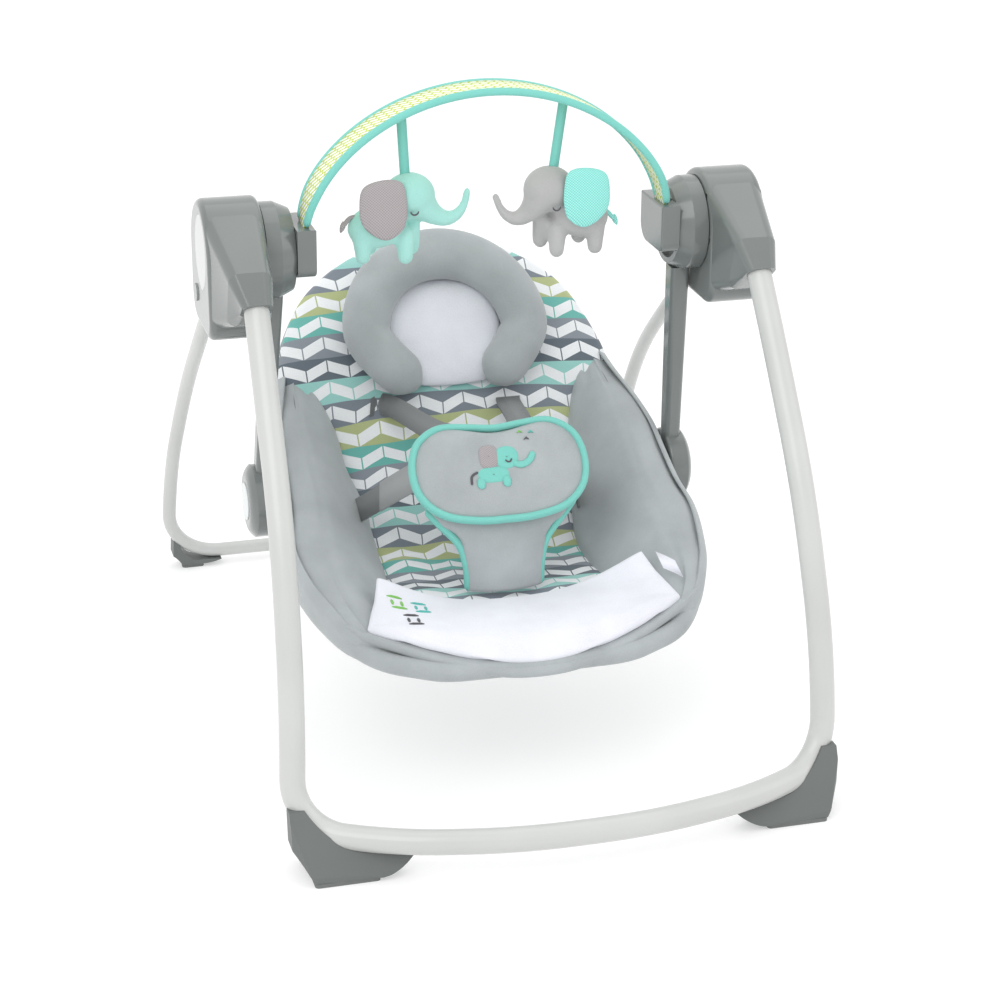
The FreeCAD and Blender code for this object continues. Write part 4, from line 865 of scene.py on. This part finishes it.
def stitched_line(name, places, width, material, lift=0.8):
    line = smooth_line([on_belly(a, b, lift) for a, b in places], 12)
    return tube(name, line, width, material, "seat", sides=8, subdivide=0, flat=0.45, out=BACK_UP)


round_patch("stitched_body", (-10, -8), 17, 8.5, BINDING, 0.5, 0.7)
round_patch("stitched_head", (6, 9), 13, 12, BINDING, 0.9, 0.9)
for n, a in enumerate((-24, 3)):
    stitched_line("stitched_leg_%d" % n, [(a, -10), (a, -16), (a, -22)], 4.6, BINDING)
stitched_line("stitched_trunk", [(12, 2), (22, 0), (31, 5), (35, 13)], 3.6, BINDING, 0.9)
round_patch("stitched_ear", (-13, 11), 10, 12, GREY_WAFFLE, 1.3, 0.6)
stitched_line("stitched_tail", [(-26, -4), (-33, -8), (-34, -17)], 1.3, THREAD_DARK)
stitched_line("stitched_eye", [(4, 6), (6, 4), (9, 4), (11, 7)], 0.9, THREAD_DARK, 1.8)
for n, (a, b, material) in enumerate(((24, 34, THREAD_GREEN), (36, 33, THREAD_TEAL), (30, 26, THREAD_DARK))):
    tube("stitched_fleck_%d" % n, [on_belly(a - 3, b), on_belly(a, b + 2), on_belly(a + 3, b)], 1.3, material,
         "seat", sides=6, subdivide=0)

# Down the crotch pad: x, y, z of its middle and its half width.
CROTCH = [(0, -94, 252, 80), (0, -99, 236, 66), (0, -104, 214, 47), (0, -108, 190, 40), (0, -110, 164, 39)]


def crotch_surface(s, t):
    _, y, z, width = between(CROTCH, t * (len(CROTCH) - 1))
    return (s * width, y + 9 * s * s, z)


crotch = quilt("crotch_pad_plush", crotch_surface, 5, 24, 22, GREY_CLOTH, "seat", edge=0.1)
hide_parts("crotch_pad")
for word, side in (("left", -1), ("right", 1)):
    edge_line = [Vector(crotch_surface(side, k / 24)) for k in range(25)]
    tube("crotch_binding_" + word, edge_line, 4.6, BINDING, "seat", sides=12)

WEB = LOOKS["webbing"]
SHOULDER_STEPS = 14
WAIST_STEPS = 12
STRAP = 2.4
left_spots = [on_back(-92, 72, 2), on_back(-72, 66, 14), (-58, -14, 314), (-50, -46, 320)]
left_line = smooth_line(left_spots, SHOULDER_STEPS)
left_widths = [Vector((3 + 7 * k / 13, 9 - 10 * k / 13, 10 - 2 * k / 13)) for k in range(SHOULDER_STEPS)]
right_spots = [on_back(68, 73, 1), on_back(60, 62, 13), (42, 0, 312), (32, -44, 319)]
right_line = smooth_line(right_spots, SHOULDER_STEPS)
right_widths = [Vector((13.5, 0, 0))] * SHOULDER_STEPS
waist_left = smooth_line([(-128, 34, 208), (-116, 0, 232), (-100, -40, 262), (-86, -72, 286)], WAIST_STEPS)
waist_right = [Vector((-p.x * 0.93, p.y + 4, p.z - 10)) for p in waist_left]
shoulder = strip("shoulder_strap_left", left_line, left_widths, STRAP, WEB, "seat")
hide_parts("harness_straps")
strip("shoulder_strap_right", right_line, right_widths, STRAP, WEB, "seat")
strip("waist_strap_left", waist_left, [Vector((2, 7, 12))] * WAIST_STEPS, STRAP, WEB, "seat")
strip("waist_strap_right", waist_right, [Vector((-2, 7, 12))] * WAIST_STEPS, STRAP, WEB, "seat")
# The fold of the left waist strap is a lighter copy of the same webbing laid over it: a painted highlight
# where the light falls on the strap.
strip("waist_strap_fold_painted_highlight", [p + Vector((-2, -3, 1)) for p in waist_left[5:]], [Vector((2, 8, 13))] * 7, 2.6,
      woven("webbing_painted_highlight", (0.33, 0.345, 0.35)), "seat")

# ---------------------------------------------------------------- toy bar sleeve

BAR_Y = -19
BAR_FOOT = 545
BAR_REACH = 188
BAR_RISE = 128


def arch(turn):
    return Vector((BAR_REACH * math.cos(turn), BAR_Y, BAR_FOOT + BAR_RISE * max(0.0, math.sin(turn)) ** 1.2))


ARCH_STEPS = 72
arch_line = [arch(math.pi * k / ARCH_STEPS) for k in range(ARCH_STEPS + 1)]
bar_half = [14 + 8 * min(1.0, 3.2 * math.sin(math.pi * k / ARCH_STEPS)) for k in range(ARCH_STEPS + 1)]
bar_widths = [Vector((0, -w, 0)) for w in bar_half]
sleeve = strip("toy_bar_cloth", arch_line, bar_widths, 5.2, LATTICE, "toy_bar_arch")
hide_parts("toy_bar_sleeve")
for word, side in (("front", -1), ("back", 1)):
    edge_line = [p + Vector((0, side * w, 0)) for p, w in zip(arch_line, bar_half)]
    tube("bar_piping_" + word, edge_line, 4.2, BINDING, "toy_bar_arch", sides=10,
         out=Vector((0, 1, 0.01)))


# ---------------------------------------------------------------- elephants

def ball(work, centre, size, turn=0.0):
    matrix = Matrix.Translation(at(*centre)) @ Matrix.Rotation(turn, 4, "Y")
    matrix = matrix @ Matrix.Diagonal(Vector((*size, 1000)) * 0.001)
    bmesh.ops.create_uvsphere(work, u_segments=24, v_segments=14, radius=1.0, matrix=matrix)


def limb(work, points, radii, count):
    spots = smooth_line([(*p, r) for p, r in zip(points, radii)], count)
    for x, y, z, r in spots:
        ball(work, (x, y, z), (r, r, r))


# An ear's outline on a toy that faces right.
EAR_OUTLINE = [
    (-24, 4), (-20, 24), (0, 31), (20, 28), (25, 10), (25, -8), (20, -22), (4, -31), (-12, -24), (-22, -12),
]


def toy(word, facing, plan, look, ear_look, tail_look):
    """A stuffed elephant in side view, from blended balls, with its ear, tail, eye and ribbon."""
    body = "toy_" + word
    work = bmesh.new()
    y = BAR_Y
    hx, hz = plan["head"]
    ball(work, (hx, y, hz), (27, 20, 24))
    ball(work, (hx - facing * 34, y, hz - 30), (30, 20, 22), -0.1 * facing)
    limb(work, [(px, y, pz) for px, pz in plan["trunk"]], [15, 11, 8, 6, 4.6, 4.2], 22)
    for lx, lz, depth in plan["legs"]:
        hip = (lx - facing, y + depth * 0.8, lz + 30)
        limb(work, [hip, (lx, y + depth, lz + 14), (lx, y + depth, lz + 8)], [10, 8.6, 8], 8)
    mesh = bpy.data.meshes.new("elephant_" + word)
    work.to_mesh(mesh)
    work.free()
    obj = bpy.data.objects.new("elephant_" + word, mesh)
    bpy.context.scene.collection.objects.link(obj)
    remesh = obj.modifiers.new("sewn", "REMESH")
    remesh.mode = "VOXEL"
    remesh.voxel_size = 0.0022
    relax = obj.modifiers.new("relax", "SMOOTH")
    relax.factor = 0.6
    relax.iterations = 9
    solid = bpy.data.meshes.new_from_object(obj.evaluated_get(bpy.context.evaluated_depsgraph_get()))
    obj.modifiers.clear()
    obj.data = solid
    solid.polygons.foreach_set("use_smooth", [True] * len(solid.polygons))
    solid.materials.clear()
    solid.materials.append(look)
    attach(obj, body)
    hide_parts("toy_elephant_" + word)
    ex, ez = plan["ear"]
    ear_shape = [(facing * a, b) for a, b in EAR_OUTLINE]
    cushion("elephant_ear_" + word, Vector((ex, y - 21, ez)), smooth_loop(ear_shape, 40), ACROSS,
            Vector((0, 0.06, 1)), Vector((facing * -0.12, -1, 0)), 4.5, ear_look, body)
    tail = [Vector((px, y, pz)) for px, pz in plan["tail"]]
    tube("elephant_tail_" + word, smooth_line(tail, 9), 2.6, tail_look, body, sides=8)
    end = tail[-1]
    tube("elephant_tail_knot_" + word, [end + Vector((0, 0, 6)), end, end + Vector((-facing * 3, 0, -6))],
         [2.6, 4.4, 3.0], tail_look, body, sides=8)
    eye_x, eye_z = plan["eye"]
    arc = [Vector((eye_x + 4 * math.cos(a), y - 19.6 + 0.3 * math.sin(a), eye_z + 4 * math.sin(a)))
           for a in (math.pi + math.pi * k / 8 for k in range(9))]
    tube("elephant_eye_" + word, arc, 0.9, THREAD_DARK, body, sides=6, subdivide=0)
    top = arch(math.acos(plan["hang"] / BAR_REACH)) - Vector((0, 0, 3))
    foot = Vector((hx - facing * 4, y, hz + 17))
    hanger = [foot, foot + (top - foot) * 0.5, top]
    strip("elephant_ribbon_" + word, hanger, [Vector((5, 0, 0))] * 3, 1.6, BINDING, body)


toy("left", 1, {
    "head": (-80, 567), "trunk": [(-66, 556), (-56, 547), (-42, 541), (-30, 545), (-23, 555), (-20, 568)],
    "legs": [(-130, 501, -8), (-120, 505, 8), (-86, 498, -8), (-76, 503, 8)], "ear": (-112, 559),
    "tail": [(-134, 549), (-142, 547), (-148, 539)], "eye": (-79, 556), "hang": -88,
}, TOY_TEAL, GREY_WAFFLE, GREY_WAFFLE)
toy("right", -1, {
    "head": (66, 565), "trunk": [(54, 552), (46, 543), (34, 536), (23, 539), (15, 548), (10, 560)],
    "legs": [(73, 494, -8), (60, 501, 8), (114, 495, -8), (101, 503, 8)], "ear": (101, 559),
    "tail": [(120, 543), (129, 537), (137, 528)], "eye": (69, 551), "hang": 80,
}, TOY_GREY, TEAL_WAFFLE, TEAL_WAFFLE)
